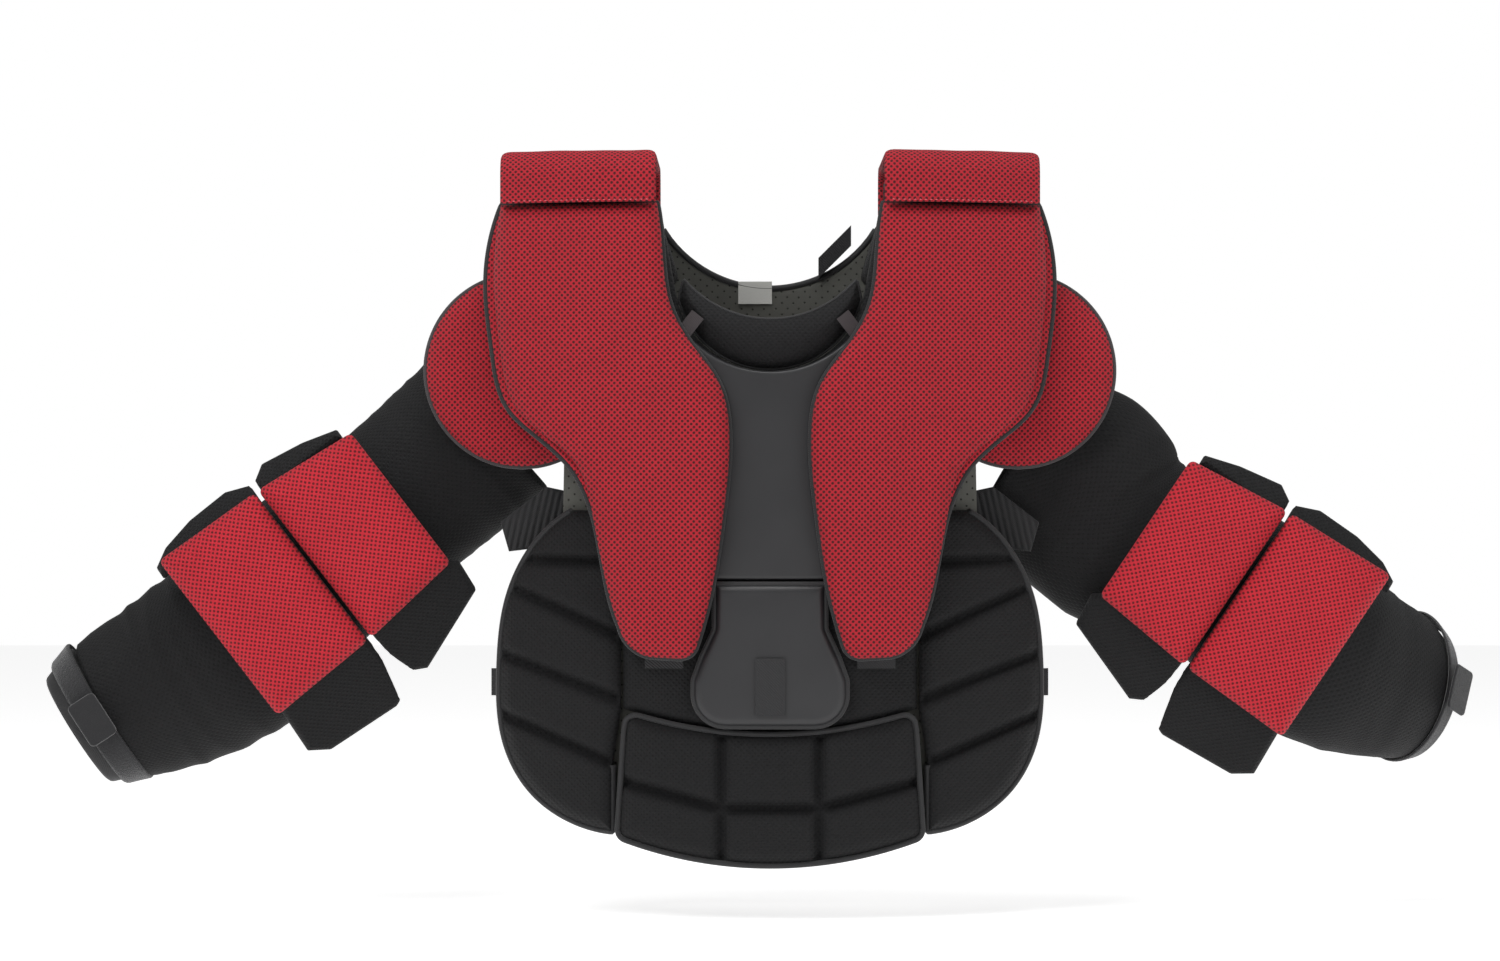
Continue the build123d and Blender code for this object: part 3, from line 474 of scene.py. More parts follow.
def pad(name, shape, space, material, body, stands_for=(), edge=8 * MM, back_edge=3 * MM,
        crown=2 * MM, seam=0.35, channels=(), channel_width=5 * MM, channel_depth=6 * MM, uneven=0.8 * MM,
        cols=40, axis=1):
    """A stuffed panel over an outline.

    With e the distance to the outline, the front stands out by
    t * sqrt(1 - (1 - e / edge)^2) + crown * (1 - exp(-e / c)), less a notch
    exp(-(d / w)^2) at a distance d from each sewn channel. The back is flat with a small round.
    """
    values, low_ends, high_ends, (back, front) = shape
    across = 0.5 + 0.5 * eased(cols)
    rows = len(values)
    wide = low_ends[:, None] + (high_ends - low_ends)[:, None] * across[None, :]
    along = np.repeat(values[:, None], cols, axis=1)
    plan = np.stack([wide, along] if axis == 1 else [along, wide], axis=-1)
    loop = np.concatenate([plan[0, :-1], plan[:-1, -1], plan[-1, :0:-1], plan[:0:-1, 0]])
    e = loop_distance(plan, loop)
    thick = front - back
    middle = back + seam * thick
    rim = np.sqrt(np.maximum(1 - (1 - np.clip(e / edge, 0, 1)) ** 2, 0))
    swell = 1 - np.exp(-e / max(e.max() * 0.4, 1e-6))
    out = middle + (front - crown - middle) * rim + crown * swell
    out += uneven * ripple(plan, 70 * MM, len(name)) * np.clip(e / (2 * edge), 0, 1)
    if len(channels):
        notch = np.exp(-((line_distance(plan, channels) / channel_width) ** 2))
        out -= np.minimum(channel_depth, thick * 0.8) * notch * np.clip(e / (0.4 * edge), 0, 1)
    back_rim = np.sqrt(np.maximum(1 - (1 - np.clip(e / back_edge, 0, 1)) ** 2, 0))
    rear = middle - (middle - back) * back_rim
    out = np.minimum(out, front)
    out = np.maximum(out, middle)
    index = np.arange(rows * cols).reshape(rows, cols)
    behind = index.copy()
    inner = (rows - 2) * (cols - 2)
    behind[1:-1, 1:-1] = rows * cols + np.arange(inner).reshape(rows - 2, cols - 2)
    front_points = np.concatenate([plan, out[..., None]], axis=-1).reshape(-1, 3)
    rear_points = np.concatenate([plan, rear[..., None]], axis=-1)[1:-1, 1:-1].reshape(-1, 3)
    q = np.concatenate([front_points, rear_points])
    faces = np.concatenate([grid_faces(rows, cols, index), grid_faces(rows, cols, behind)[:, ::-1]])
    made = make(name, space.solid(q), faces, q[:, :2], material, body, stands_for)
    depth = np.full(len(loop), middle)
    return {"object": made, "loop": np.concatenate([loop, depth[:, None]], axis=1), "space": space}


def tube(name, path, radius, material, body, closed=False, facing=(0, -1, 0), sides=8, stands_for=(),
         flatten=1.0):
    """A round cord or piping along a path: circle of a radius square to the path at each point."""
    path = np.asarray(path, float)
    ahead = np.roll(path, -1, axis=0) - np.roll(path, 1, axis=0)
    if not closed:
        ahead[0], ahead[-1] = path[1] - path[0], path[-1] - path[-2]
    ahead /= np.maximum(np.linalg.norm(ahead, axis=1, keepdims=True), 1e-9)
    sideways = np.cross(ahead, np.array(facing, float))
    sideways /= np.maximum(np.linalg.norm(sideways, axis=1, keepdims=True), 1e-9)
    outward = np.cross(sideways, ahead)
    angle = np.linspace(0, 2 * np.pi, sides, endpoint=False)
    ring = (
        path[:, None, :]
        + radius * np.cos(angle)[None, :, None] * sideways[:, None, :]
        + radius * flatten * np.sin(angle)[None, :, None] * outward[:, None, :]
    )
    count = len(path)
    index = np.arange(count * sides).reshape(count, sides)
    if closed:
        faces = grid_faces(count + 1, sides, np.concatenate([index, index[:1]]), wrap=True)
        points = ring.reshape(-1, 3)
    else:
        tips = np.arange(2) + count * sides
        first = np.stack([np.roll(index[0], -1), index[0], np.full(sides, tips[0])], axis=1)
        last = np.stack([index[-1], np.roll(index[-1], -1), np.full(sides, tips[1])], axis=1)
        caps = np.concatenate([first, last])
        faces = grid_faces(count, sides, index, wrap=True).tolist() + caps.tolist()
        points = np.concatenate([ring.reshape(-1, 3), path[:1], path[-1:]])
    travel = np.concatenate([[0], np.cumsum(np.linalg.norm(np.diff(path, axis=0), axis=1))])
    flat = np.stack(np.broadcast_arrays(travel[:, None], angle[None, :] * radius), axis=-1).reshape(-1, 2)
    flat = np.concatenate([flat, np.zeros((len(points) - len(flat), 2))])
    return make(name, points, faces, flat, material, body, stands_for)


def piping(name, piece, radius, material, body, lift=0.0, part=None, stands_for=(), flatten=1.0):
    """Piping sewn along a pad's outline, or along the part of it that a test on flat points keeps."""
    q = piece["loop"].copy()
    q[:, 2] += lift
    closed = part is None
    if part is not None:
        chosen = part(q)
        first = np.flatnonzero(chosen & ~np.roll(chosen, 1))
        if len(first):
            q = np.roll(q, -first[0], axis=0)
            chosen = np.roll(chosen, -first[0])
            stop = np.flatnonzero(~chosen)
            q = q[: stop[0]] if len(stop) else q
        gaps = np.linalg.norm(np.diff(q[:, :2], axis=0), axis=1)
        q = q[np.concatenate([[True], gaps > 1e-5])]
    else:
        gaps = np.linalg.norm(q[:, :2] - np.roll(q[:, :2], 1, axis=0), axis=1)
        q = q[gaps > 1e-5]
    return tube(name, piece["space"].solid(q), radius, material, body, closed=closed, stands_for=stands_for,
                flatten=flatten)


def stitches(name, start_point, end_point, space, depth, material, body, pitch=5 * MM, length=3.2 * MM,
             radius=0.55 * MM):
    """A row of thread stitches between two flat points: small stretched octahedra."""
    a, b = np.array(start_point, float), np.array(end_point, float)
    count = max(int(np.linalg.norm(b - a) / pitch), 2)
    share = (np.arange(count) + 0.5) / count
    centre = a + (b - a) * share[:, None]
    run = (b - a) / np.linalg.norm(b - a)
    cross = np.array([-run[1], run[0]])
    local = np.array([[-0.5, 0, 0], [0.5, 0, 0], [0, 1, 0], [0, -1, 0], [0, 0, 1], [0, 0, -0.4]])
    plan = (
        centre[:, None, :]
        + local[None, :, :1] * length * run
        + local[None, :, 1:2] * radius * cross
    )
    out = depth + np.broadcast_to(local[None, :, 2] * radius, plan.shape[:2])
    q = np.concatenate([plan, out[..., None]], axis=-1).reshape(-1, 3)
    faces = np.array([[0, 2, 4], [2, 1, 4], [1, 3, 4], [3, 0, 4], [2, 0, 5], [1, 2, 5], [3, 1, 5], [0, 3, 5]])
    all_faces = (faces[None] + 6 * np.arange(count)[:, None, None]).reshape(-1, 3)
    return make(name, space.solid(q), all_faces, q[:, :2], material, body)


# ---- torso ------------------------------------------------------------------------------

pad("chest_vest", outline("front_vest", BOWED, 80, axis=0), BOWED, BLACK_MESH, "torso",
    ["front_vest"], edge=10 * MM, cols=36, axis=0)
pad("centre_body_panel", outline("centre_panel", BOWED, 60, axis=0), BOWED, BLACK_MESH, "torso",
    ["centre_panel"], edge=10 * MM, crown=3 * MM, axis=0)
pad("sternum_cover", outline("sternum_plate", BOWED, 60, axis=0), BOWED, VINYL, "torso",
    ["sternum_plate"], edge=2 * MM, back_edge=0.5 * MM, crown=0.6 * MM,
    uneven=0.5 * MM, axis=0)
collar = pad("collar_pad", outline("collar", BOWED, 70, axis=0), BOWED, BLACK_MESH, "torso",
             ["collar"], edge=22 * MM, crown=4 * MM, cols=30, axis=0)
piping("collar_piping", collar, 1.6 * MM, BINDING, "torso", lift=2 * MM)

belly = pad(
    "belly_pad", outline("belly_panel", BOWED, 110, axis=0), BOWED, BLACK_MESH, "belly", ["belly_panel"],
    edge=14 * MM, crown=4 * MM, cols=56, axis=0,
    channels=[((-46 * MM, -440 * MM), (-46 * MM, -300 * MM)), ((46 * MM, -440 * MM), (46 * MM, -300 * MM)),
              ((-142 * MM, -356 * MM), (-46 * MM, -381 * MM)), ((-46 * MM, -381 * MM), (46 * MM, -381 * MM)),
              ((46 * MM, -381 * MM), (142 * MM, -356 * MM))],
    channel_width=5 * MM, channel_depth=13 * MM,
)
piping("belly_piping", belly, 2.6 * MM, BINDING, "belly", lift=9 * MM)

tongue = pad("tongue_pad", outline("tongue_flap", BOWED, 60), BOWED, VINYL, "tongue", ["tongue_flap"],
             edge=7 * MM, crown=1 * MM, uneven=0.5 * MM, cols=44)
piping("tongue_piping", tongue, 3.0 * MM, BINDING, "tongue", lift=1 * MM)

for side_name, side in SIDES.items():
    ends = [((236, -147), (140, -149)), ((262, -167), (139, -220)), ((272, -231), (138, -281)),
            ((268, -289), (146, -341))]
    lines = [tuple((side * x * MM, z * MM) for x, z in pair) for pair in ends]
    panel = pad(
        f"{side_name}_side_pad", outline(f"{side_name}_side_panel", BOWED, 110), BOWED, BLACK_MESH, "torso",
        [f"{side_name}_side_panel"], edge=14 * MM, crown=4 * MM, cols=44,
        channels=lines, channel_width=4.5 * MM, channel_depth=12 * MM,
    )
    piping(f"{side_name}_side_binding", panel, 3.4 * MM, BINDING, "torso", lift=1 * MM, flatten=1.6,
           part=lambda q, s=side: (s * q[:, 0] > 149 * MM) & (q[:, 1] < -101 * MM))

# ---- chest floats -----------------------------------------------------------------------

SEAM_HEIGHT = JOINTS["left_float_lift"]["pos_m"][2]
for side_name, side in SIDES.items():
    body = f"{side_name}_float"
    under = pad(f"{side_name}_float_under_pad", outline(f"{side_name}_float_underlay", BOWED, 110), BOWED,
                RED_MESH, body, [f"{side_name}_float_underlay"], edge=3 * MM,
                back_edge=1 * MM, crown=0.5 * MM, uneven=0.2 * MM)
    piping(f"{side_name}_float_binding", under, 3.0 * MM, BINDING, body, flatten=1.0)
    pad(f"{side_name}_float_pad", outline(f"{side_name}_chest_float", BOWED, 130), BOWED,
                    RED_MESH, body, [f"{side_name}_chest_float"], edge=17 * MM,
                    back_edge=4 * MM, crown=5 * MM, seam=0.22, uneven=1.6 * MM, cols=60)

# ---- shoulder bands and yokes -----------------------------------------------------------


def strip_over(name, node, radius, back, foot, top, corner, thickness, material, rows=90, cols=30):
    """A padded strip over the shoulder, as wide as its CAD node."""
    low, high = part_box(node)
    space = OverShoulder(radius, back, foot, top, corner)
    values = 0.5 + 0.5 * eased(rows, 0.3)
    shape = (values, np.full(rows, low.x), np.full(rows, high.x), (-thickness, 0.0))
    return strip(name, shape, space, material, node, cols)


def strip(name, shape, space, material, node, cols):
    """Closed strip in an over-the-shoulder space; its sides are rounded and its feet are square."""
    values, low_ends, high_ends, (inner, outer) = shape
    across = 0.5 + 0.5 * eased(cols, 0.8)
    wide = low_ends[:, None] + (high_ends - low_ends)[:, None] * across
    e = np.minimum(wide - low_ends[:, None], high_ends[:, None] - wide)
    rim = np.sqrt(np.maximum(1 - (1 - np.clip(e / (9 * MM), 0, 1)) ** 2, 0))
    middle = inner + 0.4 * (outer - inner)
    along = np.repeat(values[:, None], cols, axis=1)
    wave = 0.8 * MM * ripple(np.stack([wide, along * 0.3], axis=-1), 60 * MM, 5)
    out = middle + (outer - middle) * rim + wave * rim - 0.8 * MM * rim
    rear = middle - (middle - inner) * rim
    q = np.concatenate([
        np.stack([wide, along, out], axis=-1).reshape(-1, 3),
        np.stack([wide, along, rear], axis=-1).reshape(-1, 3),
    ])
    rows = len(values)
    index = np.arange(rows * cols).reshape(rows, cols)
    behind = index + rows * cols
    feet = np.concatenate([
        np.stack([index[0, :-1], index[0, 1:], behind[0, 1:], behind[0, :-1]], axis=1),
        np.stack([index[-1, 1:], index[-1, :-1], behind[-1, :-1], behind[-1, 1:]], axis=1),
    ])
    faces = np.concatenate([grid_faces(rows, cols, index), grid_faces(rows, cols, behind)[:, ::-1], feet])
    flat = np.stack([q[:, 0], q[:, 1] * 0.32], axis=1)
    made = make(name, space.solid(q), faces, flat, material, "torso", [node])
    return made


def bow_radius(node):
    """Greatest distance of a node's points from the bow's axis, on its front."""
    points, _ = cad_mesh(node)
    ahead = points[points[:, 1] < 0]
    return float(np.hypot(ahead[:, 0], ahead[:, 1] - BOW_CENTRE).max())


float_front = bow_radius("left_chest_float")
for side_name, side in SIDES.items():
    low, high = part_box(f"{side_name}_shoulder_band")
    strip_over(f"{side_name}_shoulder_strip", f"{side_name}_shoulder_band", float_front, high.y,
               low.z + 0.5 * MM, high.z, 26 * MM, 10 * MM, RED_MESH)
    low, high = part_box(f"{side_name}_yoke")
    strip_over(f"{side_name}_yoke_pad", f"{side_name}_yoke", bow_radius(f"{side_name}_yoke"), high.y,
               low.z, high.z - 1 * MM, 12 * MM, 17 * MM, BLACK_MESH)
    inner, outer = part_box(f"{side_name}_shoulder_band")
    stitches(f"{side_name}_float_seam_stitches", (inner.x + 6 * MM, SEAM_HEIGHT + 2.2 * MM),
             (outer.x - 6 * MM, SEAM_HEIGHT + 2.2 * MM), BOWED, float_front + 0.3 * MM, RED_THREAD, "torso")

# ---- shoulder caps ----------------------------------------------------------------------

for side_name, side in SIDES.items():
    body = f"{side_name}_cap"
    cap = pad(f"{side_name}_cap_pad", outline(f"{side_name}_shoulder_cap", FRONT, 70), FRONT, RED_MESH, body,
              [f"{side_name}_shoulder_cap"], edge=26 * MM, crown=7 * MM, seam=0.1,
              cols=48)
    piping(f"{side_name}_cap_edge", cap, 2.6 * MM, GREY_PIPING, body, stands_for=[f"{side_name}_cap_piping"])

# ---- back and neck ----------------------------------------------------------------------

pad("back_pad", outline("back_plate", REAR, 80, axis=0), REAR, BLACK_MESH, "torso", ["back_plate"],
    edge=9 * MM, crown=2 * MM, axis=0,
    channels=[((-60 * MM, 110 * MM), (-60 * MM, -170 * MM)), ((60 * MM, 110 * MM), (60 * MM, -170 * MM)),
              ((-190 * MM, 60 * MM), (-60 * MM, 60 * MM)), ((60 * MM, 60 * MM), (190 * MM, 60 * MM)),
              ((-190 * MM, -50 * MM), (-60 * MM, -50 * MM)), ((60 * MM, -50 * MM), (190 * MM, -50 * MM))])
back_lining = pad("back_inner_lining", outline("back_lining", FRONT, 80, axis=0), FRONT, LINING, "torso",
                  ["back_lining"], edge=2 * MM, back_edge=0.5 * MM, crown=0.8 * MM,
                  uneven=1.0 * MM, axis=0)
piping("back_neck_binding", back_lining, 3.2 * MM, BINDING, "torso", lift=0.5 * MM,
       part=lambda q: (np.abs(q[:, 0]) < 110 * MM) & (q[:, 1] > 100 * MM))
pad("spine_strip", outline("spine_pad", REAR, 60), REAR, BLACK_MESH, "torso", ["spine_pad"],
    edge=10 * MM, crown=2 * MM)
pad("front_lining_cloth", outline("front_lining", BOWED, 90, axis=0), BOWED, LINING, "torso",
    ["front_lining"], edge=1.5 * MM, back_edge=0.5 * MM, crown=0.4 * MM, uneven=0.2 * MM, axis=0)

low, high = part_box("neck_pads")
for side_name, side in SIDES.items():
    inner = 88 * MM
    lean = np.array([side * 22.0, 0, 67.0])
    wall = Leaning((side * inner, low.y, low.z), (0, 1, 0), lean, np.cross(lean, (0, 1, 0)) * side)
    rows = 40
    values = 34 * MM + eased(rows) * 34 * MM
    length = high.y - low.y
    shape = (values, np.full(rows, 1 * MM), np.full(rows, length - 1 * MM), (-13 * MM, 2 * MM))
    pad(f"{side_name}_neck_side_pad", shape, wall, BLACK_MESH, "torso", ["neck_pads"],
               edge=10 * MM, back_edge=6 * MM, crown=2 * MM, cols=30)

# ---- arms -------------------------------------------------------------------------------


def arm_axes(side_name):
    """Elbow hinge point on the sleeve's axis, and unit vectors along, across and in front of the arm."""
    joint = JOINTS[f"{side_name}_elbow"]
    upward = np.array(joint["axis"], float)
    upward = upward if upward[2] > 0 else -upward
    forward = np.array([0.0, -1.0, 0.0])
    along = np.cross(upward, forward)
    along = along * np.sign(along[0]) * SIDES[side_name]
    hinge = np.array(joint["pos_m"], float)
    return hinge, along, upward, forward


def sleeve_sections(node, origin, along, upward, shares):
    """Centres and half sizes where planes square to a direction cut a node, at shares of its length."""
    points, edges = cad_mesh(node)
    depth = np.cross(along, upward)
    space = Leaning(origin, along, upward, depth)
    q = space.flat(points)
    near, far = q[:, 0].min(), q[:, 0].max()
    found = []
    for offset in near + (far - near) * np.array(shares):
        cut = crossings(q, edges, 0, offset)
        low, high = cut.min(axis=0), cut.max(axis=0)
        middle = (low + high) / 2
        found.append((*space.solid(np.array([[offset, middle[1], middle[2]]]))[0],
                      (high[1] - low[1]) / 2, (high[2] - low[2]) / 2))
    return np.array(found)


def smooth_rows(table, rows):
    """Catmull-Rom rows through the rows of a table, evenly spaced along the first three columns."""
    steps = np.concatenate([[0], np.cumsum(np.linalg.norm(np.diff(table[:, :3], axis=0), axis=1))])
    slope = np.gradient(table, steps, axis=0)
    where = np.linspace(0, steps[-1], rows)
    spot = np.clip(np.searchsorted(steps, where, side="right") - 1, 0, len(steps) - 2)
    span = (steps[spot + 1] - steps[spot])[:, None]
    t = ((where - steps[spot])[:, None]) / span
    h00, h10 = 2 * t**3 - 3 * t**2 + 1, t**3 - 2 * t**2 + t
    h01, h11 = -2 * t**3 + 3 * t**2, t**3 - t**2
    return h00 * table[spot] + h10 * span * slope[spot] + h01 * table[spot + 1] + h11 * span * slope[spot + 1]


def sleeve(name, table, upward, wall, material, body, stands_for, rows=120, around=72, folds=2.2 * MM,
           seed=3, lengthwise=(), upward_end=None):
    """A padded sleeve: an oval tube round a curved line, with soft cross folds and rolled open ends.

    Radius at angle a is the oval's, less folds * (ripple along and round), less a narrow dip at
    each lengthwise seam.
    """
    rows_table = smooth_rows(table, rows)
    centre, half_up, half_out = rows_table[:, :3], rows_table[:, 3], rows_table[:, 4]
    ahead = np.gradient(centre, axis=0)
    ahead /= np.linalg.norm(ahead, axis=1, keepdims=True)
    turn = np.clip((np.linspace(0, 1, rows) - 0.5) / 0.4, 0, 1)[:, None]
    upward = np.asarray(upward) + turn * (np.asarray(upward if upward_end is None else upward_end) - upward)
    up = upward - np.sum(ahead * upward, axis=1, keepdims=True) * ahead
    up /= np.linalg.norm(up, axis=1, keepdims=True)
    out = np.cross(up, ahead)
    angle = np.linspace(0, 2 * np.pi, around, endpoint=False)
    travel = np.concatenate([[0], np.cumsum(np.linalg.norm(np.diff(centre, axis=0), axis=1))])
    girth = np.mean(half_up + half_out) / 2
    skin = np.stack(np.broadcast_arrays(travel[:, None], girth * np.sin(angle)[None, :]), axis=-1)
    crease = np.abs(ripple(skin * np.array([1.0, 0.35]), 42 * MM, seed)) * folds
    crease += 0.5 * folds * (1 + ripple(skin, 110 * MM, seed + 1))
    for seam_angle in lengthwise:
        gap = np.abs((angle - seam_angle + np.pi) % (2 * np.pi) - np.pi) * girth
        crease += 2.2 * MM * np.exp(-((gap / (2.5 * MM)) ** 2))[None, :]
    ends = np.minimum(travel, travel[-1] - travel)
    roll = 3 * MM * (1 - np.sqrt(np.maximum(1 - (1 - np.clip(ends / (4 * MM), 0, 1)) ** 2, 0)))

    def shell(inset):
        across = (half_up[:, None] - inset) * np.cos(angle)
        deep = (half_out[:, None] - inset) * np.sin(angle)
        return centre[:, None] + across[..., None] * up[:, None] + deep[..., None] * out[:, None]

    outer = shell(crease + roll[:, None])
    inner = shell(np.full_like(crease, wall) - roll[:, None] * 0.5)
    index = np.arange(rows * around).reshape(rows, around)
    behind = index + rows * around
    rims = []
    for row in (0, -1):
        a, b = index[row], behind[row]
        rims.append(np.stack([a, np.roll(a, -1), np.roll(b, -1), b], axis=1))
    walls = [grid_faces(rows, around, shell_index, True) for shell_index in (index, behind)]
    faces = np.concatenate([*walls, *rims])
    round_way = angle * girth
    flat = np.stack(np.broadcast_arrays(travel[:, None], round_way[None, :]), axis=-1).reshape(-1, 2)
    points = np.concatenate([outer.reshape(-1, 3), inner.reshape(-1, 3)])
    made = make(name, points, faces, np.concatenate([flat, flat]), material, body, stands_for)
    return made


def cuff_axes(side_name):
    """Middle of the wrist strap, with the cuff's direction."""
    joint = JOINTS[f"{side_name}_strap_peel"]
    ahead = np.array(joint["axis"], float)
    ahead = ahead * np.sign(ahead[0]) * SIDES[side_name]
    low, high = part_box(f"{side_name}_wrist_strap")
    return (np.array(low) + np.array(high)) / 2, ahead


FOLD_DEPTH = 57 * MM  # the elbow folds this far in front of the sleeve's axis
WING_SET = 3 * MM  # the wings' root stands this far in front of the fold
WING_ROOT = {1: 76 * MM, -1: 70 * MM}  # how far out the outer and inner wings leave the arm
WING_TILT = {1: np.radians(30), -1: np.radians(24)}

for side_name, side in SIDES.items():
    hinge, along, upward, forward = arm_axes(side_name)
    upper_body, fore_body = f"{side_name}_upper_arm", f"{side_name}_forearm"
    axis_point = hinge - forward * FOLD_DEPTH

    # one skin from the shoulder, over the elbow, to the cuff
    upper = sleeve_sections(f"{side_name}_upper_sleeve", axis_point, along, upward, (0.12, 0.32, 0.56))
    elbow_row = np.array([[*axis_point, 84 * MM, 55 * MM]])
    wrist_point, ahead = cuff_axes(side_name)
    cuff_up = np.cross(np.cross(ahead, (0, 0, 1.0)), ahead)
    cuff_up /= np.linalg.norm(cuff_up)
    fore = sleeve_sections(f"{side_name}_forearm_sleeve", axis_point, along, upward, (0.36, 0.46))
    last = sleeve_sections(f"{side_name}_forearm_sleeve", wrist_point, ahead, cuff_up, (0.80, 0.93))
    mouth = sleeve_sections(f"{side_name}_cuff", wrist_point, ahead, cuff_up, (0.2,))
    mouth[:, 3:] += 2 * MM
    table = np.concatenate([upper, elbow_row, fore, last, mouth])
    skin = sleeve(f"{side_name}_sleeve", table, upward, 8 * MM, BLACK_MESH, None,
                  [f"{side_name}_upper_sleeve", f"{side_name}_forearm_sleeve"],
                  rows=170, folds=2.6 * MM, seed=7 + side, lengthwise=(0.0, np.pi), upward_end=cuff_up)
    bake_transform(skin)

    # cuff and its strap
    cuff_rows = sleeve_sections(f"{side_name}_cuff", wrist_point, ahead, cuff_up, (0.12, 0.5, 0.88))
    sleeve(f"{side_name}_cuff_band", cuff_rows, cuff_up, 5 * MM, BINDING, fore_body, [f"{side_name}_cuff"],
           rows=30, folds=0.8 * MM)
    strap_rows = sleeve_sections(f"{side_name}_wrist_strap", wrist_point, ahead, cuff_up, (0.12, 0.5, 0.88))
    sleeve(f"{side_name}_wrist_band", strap_rows, cuff_up, 4 * MM, LOOP, fore_body,
           [f"{side_name}_wrist_strap"], rows=30, folds=0.9 * MM)
    peel = JOINTS[f"{side_name}_strap_peel"]
    tab_out = np.cross(cuff_up, ahead)
    tab_out = tab_out * (-1 if tab_out[1] > 0 else 1)
    tab_space = Leaning(peel["pos_m"], ahead, cuff_up, tab_out)
    pad(f"{side_name}_strap_tab", outline(f"{side_name}_strap_end", tab_space, 30), tab_space, LOOP,
        f"{side_name}_strap_end_flap", [f"{side_name}_strap_end"], edge=1.5 * MM,
        back_edge=1 * MM, crown=0.3 * MM, uneven=0.1 * MM, cols=20)

    # elbow pads and wings
    board = Leaning(hinge, along, upward, forward)
    for level, body in (("upper", upper_body), ("lower", fore_body)):
        pad(
            f"{side_name}_{level}_elbow_cushion",
            outline(f"{side_name}_{level}_elbow_pad", board, 70, axis=0),
            board, BRIGHT_MESH, body, [f"{side_name}_{level}_elbow_pad"], edge=20 * MM,
            crown=5 * MM, seam=0.12, uneven=1.2 * MM, cols=60, axis=0)
        for place, above in (("outer", 1), ("inner", -1)):
            keep = (lambda q: q[:, 1] > 0) if above > 0 else (lambda q: q[:, 1] < 0)
            tilt, root = WING_TILT[above], WING_ROOT[above]
            outward = forward * np.cos(tilt) + upward * above * np.sin(tilt)
            reach_up = upward * np.cos(tilt) * above - forward * np.sin(tilt)
            origin = hinge + forward * WING_SET + upward * above * root
            flat_wing = Leaning(origin, along, reach_up, outward)
            wing_space = Folding(flat_wing, board, -1 if level == "upper" else 1)
            pad(f"{side_name}_{level}_{place}_wing",
                outline(f"{side_name}_{level}_wings", wing_space, 60, axis=0,
                        keep=lambda q, s=wing_space.board, b=board, k=keep: k(b.flat(s.solid(q)))),
                wing_space, BLACK_MESH, body, [f"{side_name}_{level}_wings"],
                edge=6 * MM, crown=1.5 * MM, cols=36, axis=0)

    # ribbed stretch gusset at the armpit
    ribs = [((side * x * MM, -70 * MM), (side * (x + 18) * MM, -150 * MM)) for x in range(184, 262, 6)]
    pad(f"{side_name}_gusset", outline("armpit_gussets", FRONT, 50, keep=lambda q, s=side: s * q[:, 0] > 0),
        FRONT, BINDING, "torso", ["armpit_gussets"], edge=1.5 * MM, back_edge=0.5 * MM,
        crown=0.3 * MM, channels=ribs, channel_width=1.5 * MM, channel_depth=1.4 * MM, cols=60)

# ---- CAD nodes that keep their own shape ------------------------------------------------

KEPT = {
    PLASTIC: ("sternum_core", "left_cap_liner", "right_cap_liner", "waist_buckle", "left_upper_elbow_cup",
              "right_upper_elbow_cup", "left_lower_elbow_cup", "right_lower_elbow_cup"),
    WEBBING: ("tongue_tab", "waist_tabs", "waist_straps", "neck_strap", "left_float_tab", "right_float_tab"),
    GREY_PIPING: ("collar_tabs",),
    LABEL: ("size_label",),
}
for material, names in KEPT.items():
    for name in names:
        NODES[name].data.materials.clear()
        NODES[name].data.materials.append(material)

# ---- floor, light and camera ------------------------------------------------------------


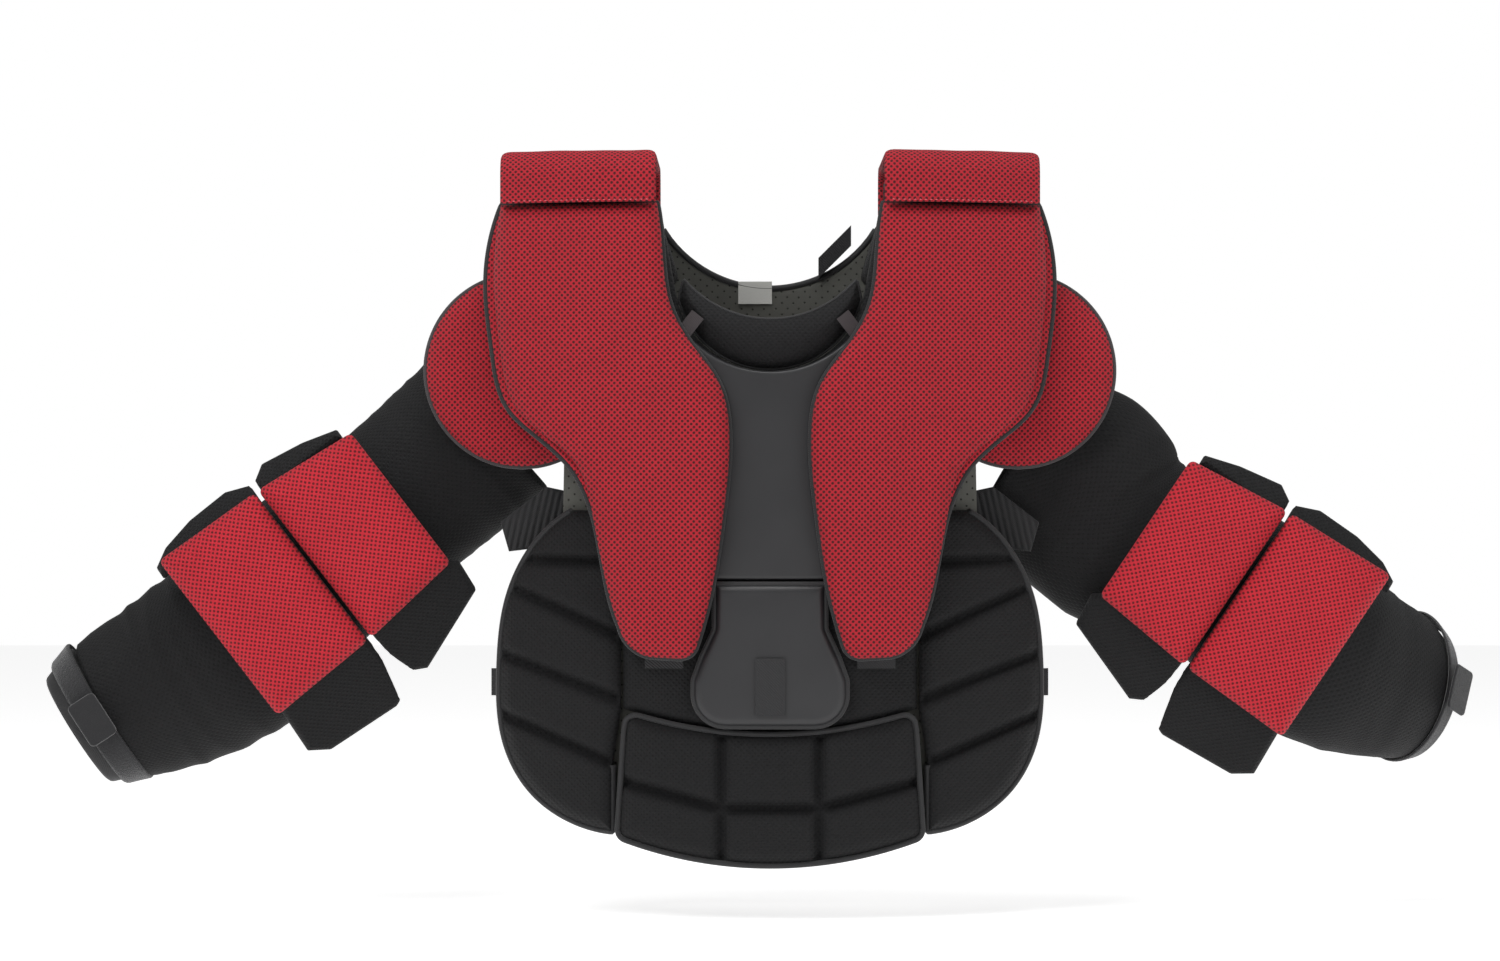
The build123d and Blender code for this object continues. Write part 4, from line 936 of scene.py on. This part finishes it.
def studio():
    """A wide pale floor under the object, soft light from both sides and above, a white room."""
    low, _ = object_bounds()
    half, level = 8.0, low.z - 0.05
    corner = np.array([[-half, -half], [half, -half], [-half, half], [half, half]])
    points = np.concatenate([corner, np.full((4, 1), level)], axis=1)
    made, tree, surface = start("pale_paper")
    surface.inputs["Base Color"].default_value = linear("#F4F4F4")
    surface.inputs["Roughness"].default_value = 0.9
    surface.inputs["Emission Color"].default_value = (1, 1, 1, 1)
    surface.inputs["Emission Strength"].default_value = 0.6
    floor = make("paper_floor", points, np.array([[0, 1, 3, 2]]), corner, made, None)
    lights = (
        ("key_light", (-1.7, -2.6, 2.6), 1.6, 70),
        ("fill_light", (2.3, -2.6, 0.9), 2.0, 22),
        ("top_light", (0.0, -0.6, 2.4), 1.4, 34),
    )
    for name, place, size, power in lights:
        lamp = bpy.data.lights.new(name, "AREA")
        lamp.size, lamp.energy = size, power
        made_lamp = bpy.data.objects.new(name, lamp)
        made_lamp.location = place
        made_lamp.rotation_euler = (Vector((0, 0, -0.1)) - Vector(place)).to_track_quat("-Z", "Y").to_euler()
        bpy.context.scene.collection.objects.link(made_lamp)
    world = bpy.data.worlds.new("soft_room")
    world.use_nodes = True
    room = world.node_tree.nodes["Background"]
    room.inputs[0].default_value = (1, 1, 1, 1)
    seen = add(world.node_tree, "ShaderNodeLightPath").outputs["Is Camera Ray"]
    strength = add(world.node_tree, "ShaderNodeMapRange", {0: seen, 3: 0.34, 4: 1.0}).outputs[0]
    world.node_tree.links.new(strength, room.inputs[1])
    bpy.context.scene.world = world
    bpy.context.scene.view_settings.view_transform = "Standard"


def camera():
    """Straight-on view from far in front, as wide as the object with a margin at its sides."""
    view = bpy.data.cameras.new("camera")
    distance, width = 5.0, 1.425
    view.sensor_width = 36
    view.lens = view.sensor_width * (distance - 0.1) / width
    made = bpy.data.objects.new("camera", view)
    made.location = (-0.019, -distance, -0.072)
    made.rotation_euler = (np.pi / 2, 0, 0)
    bpy.context.scene.collection.objects.link(made)
    bpy.context.scene.camera = made


studio()
camera()
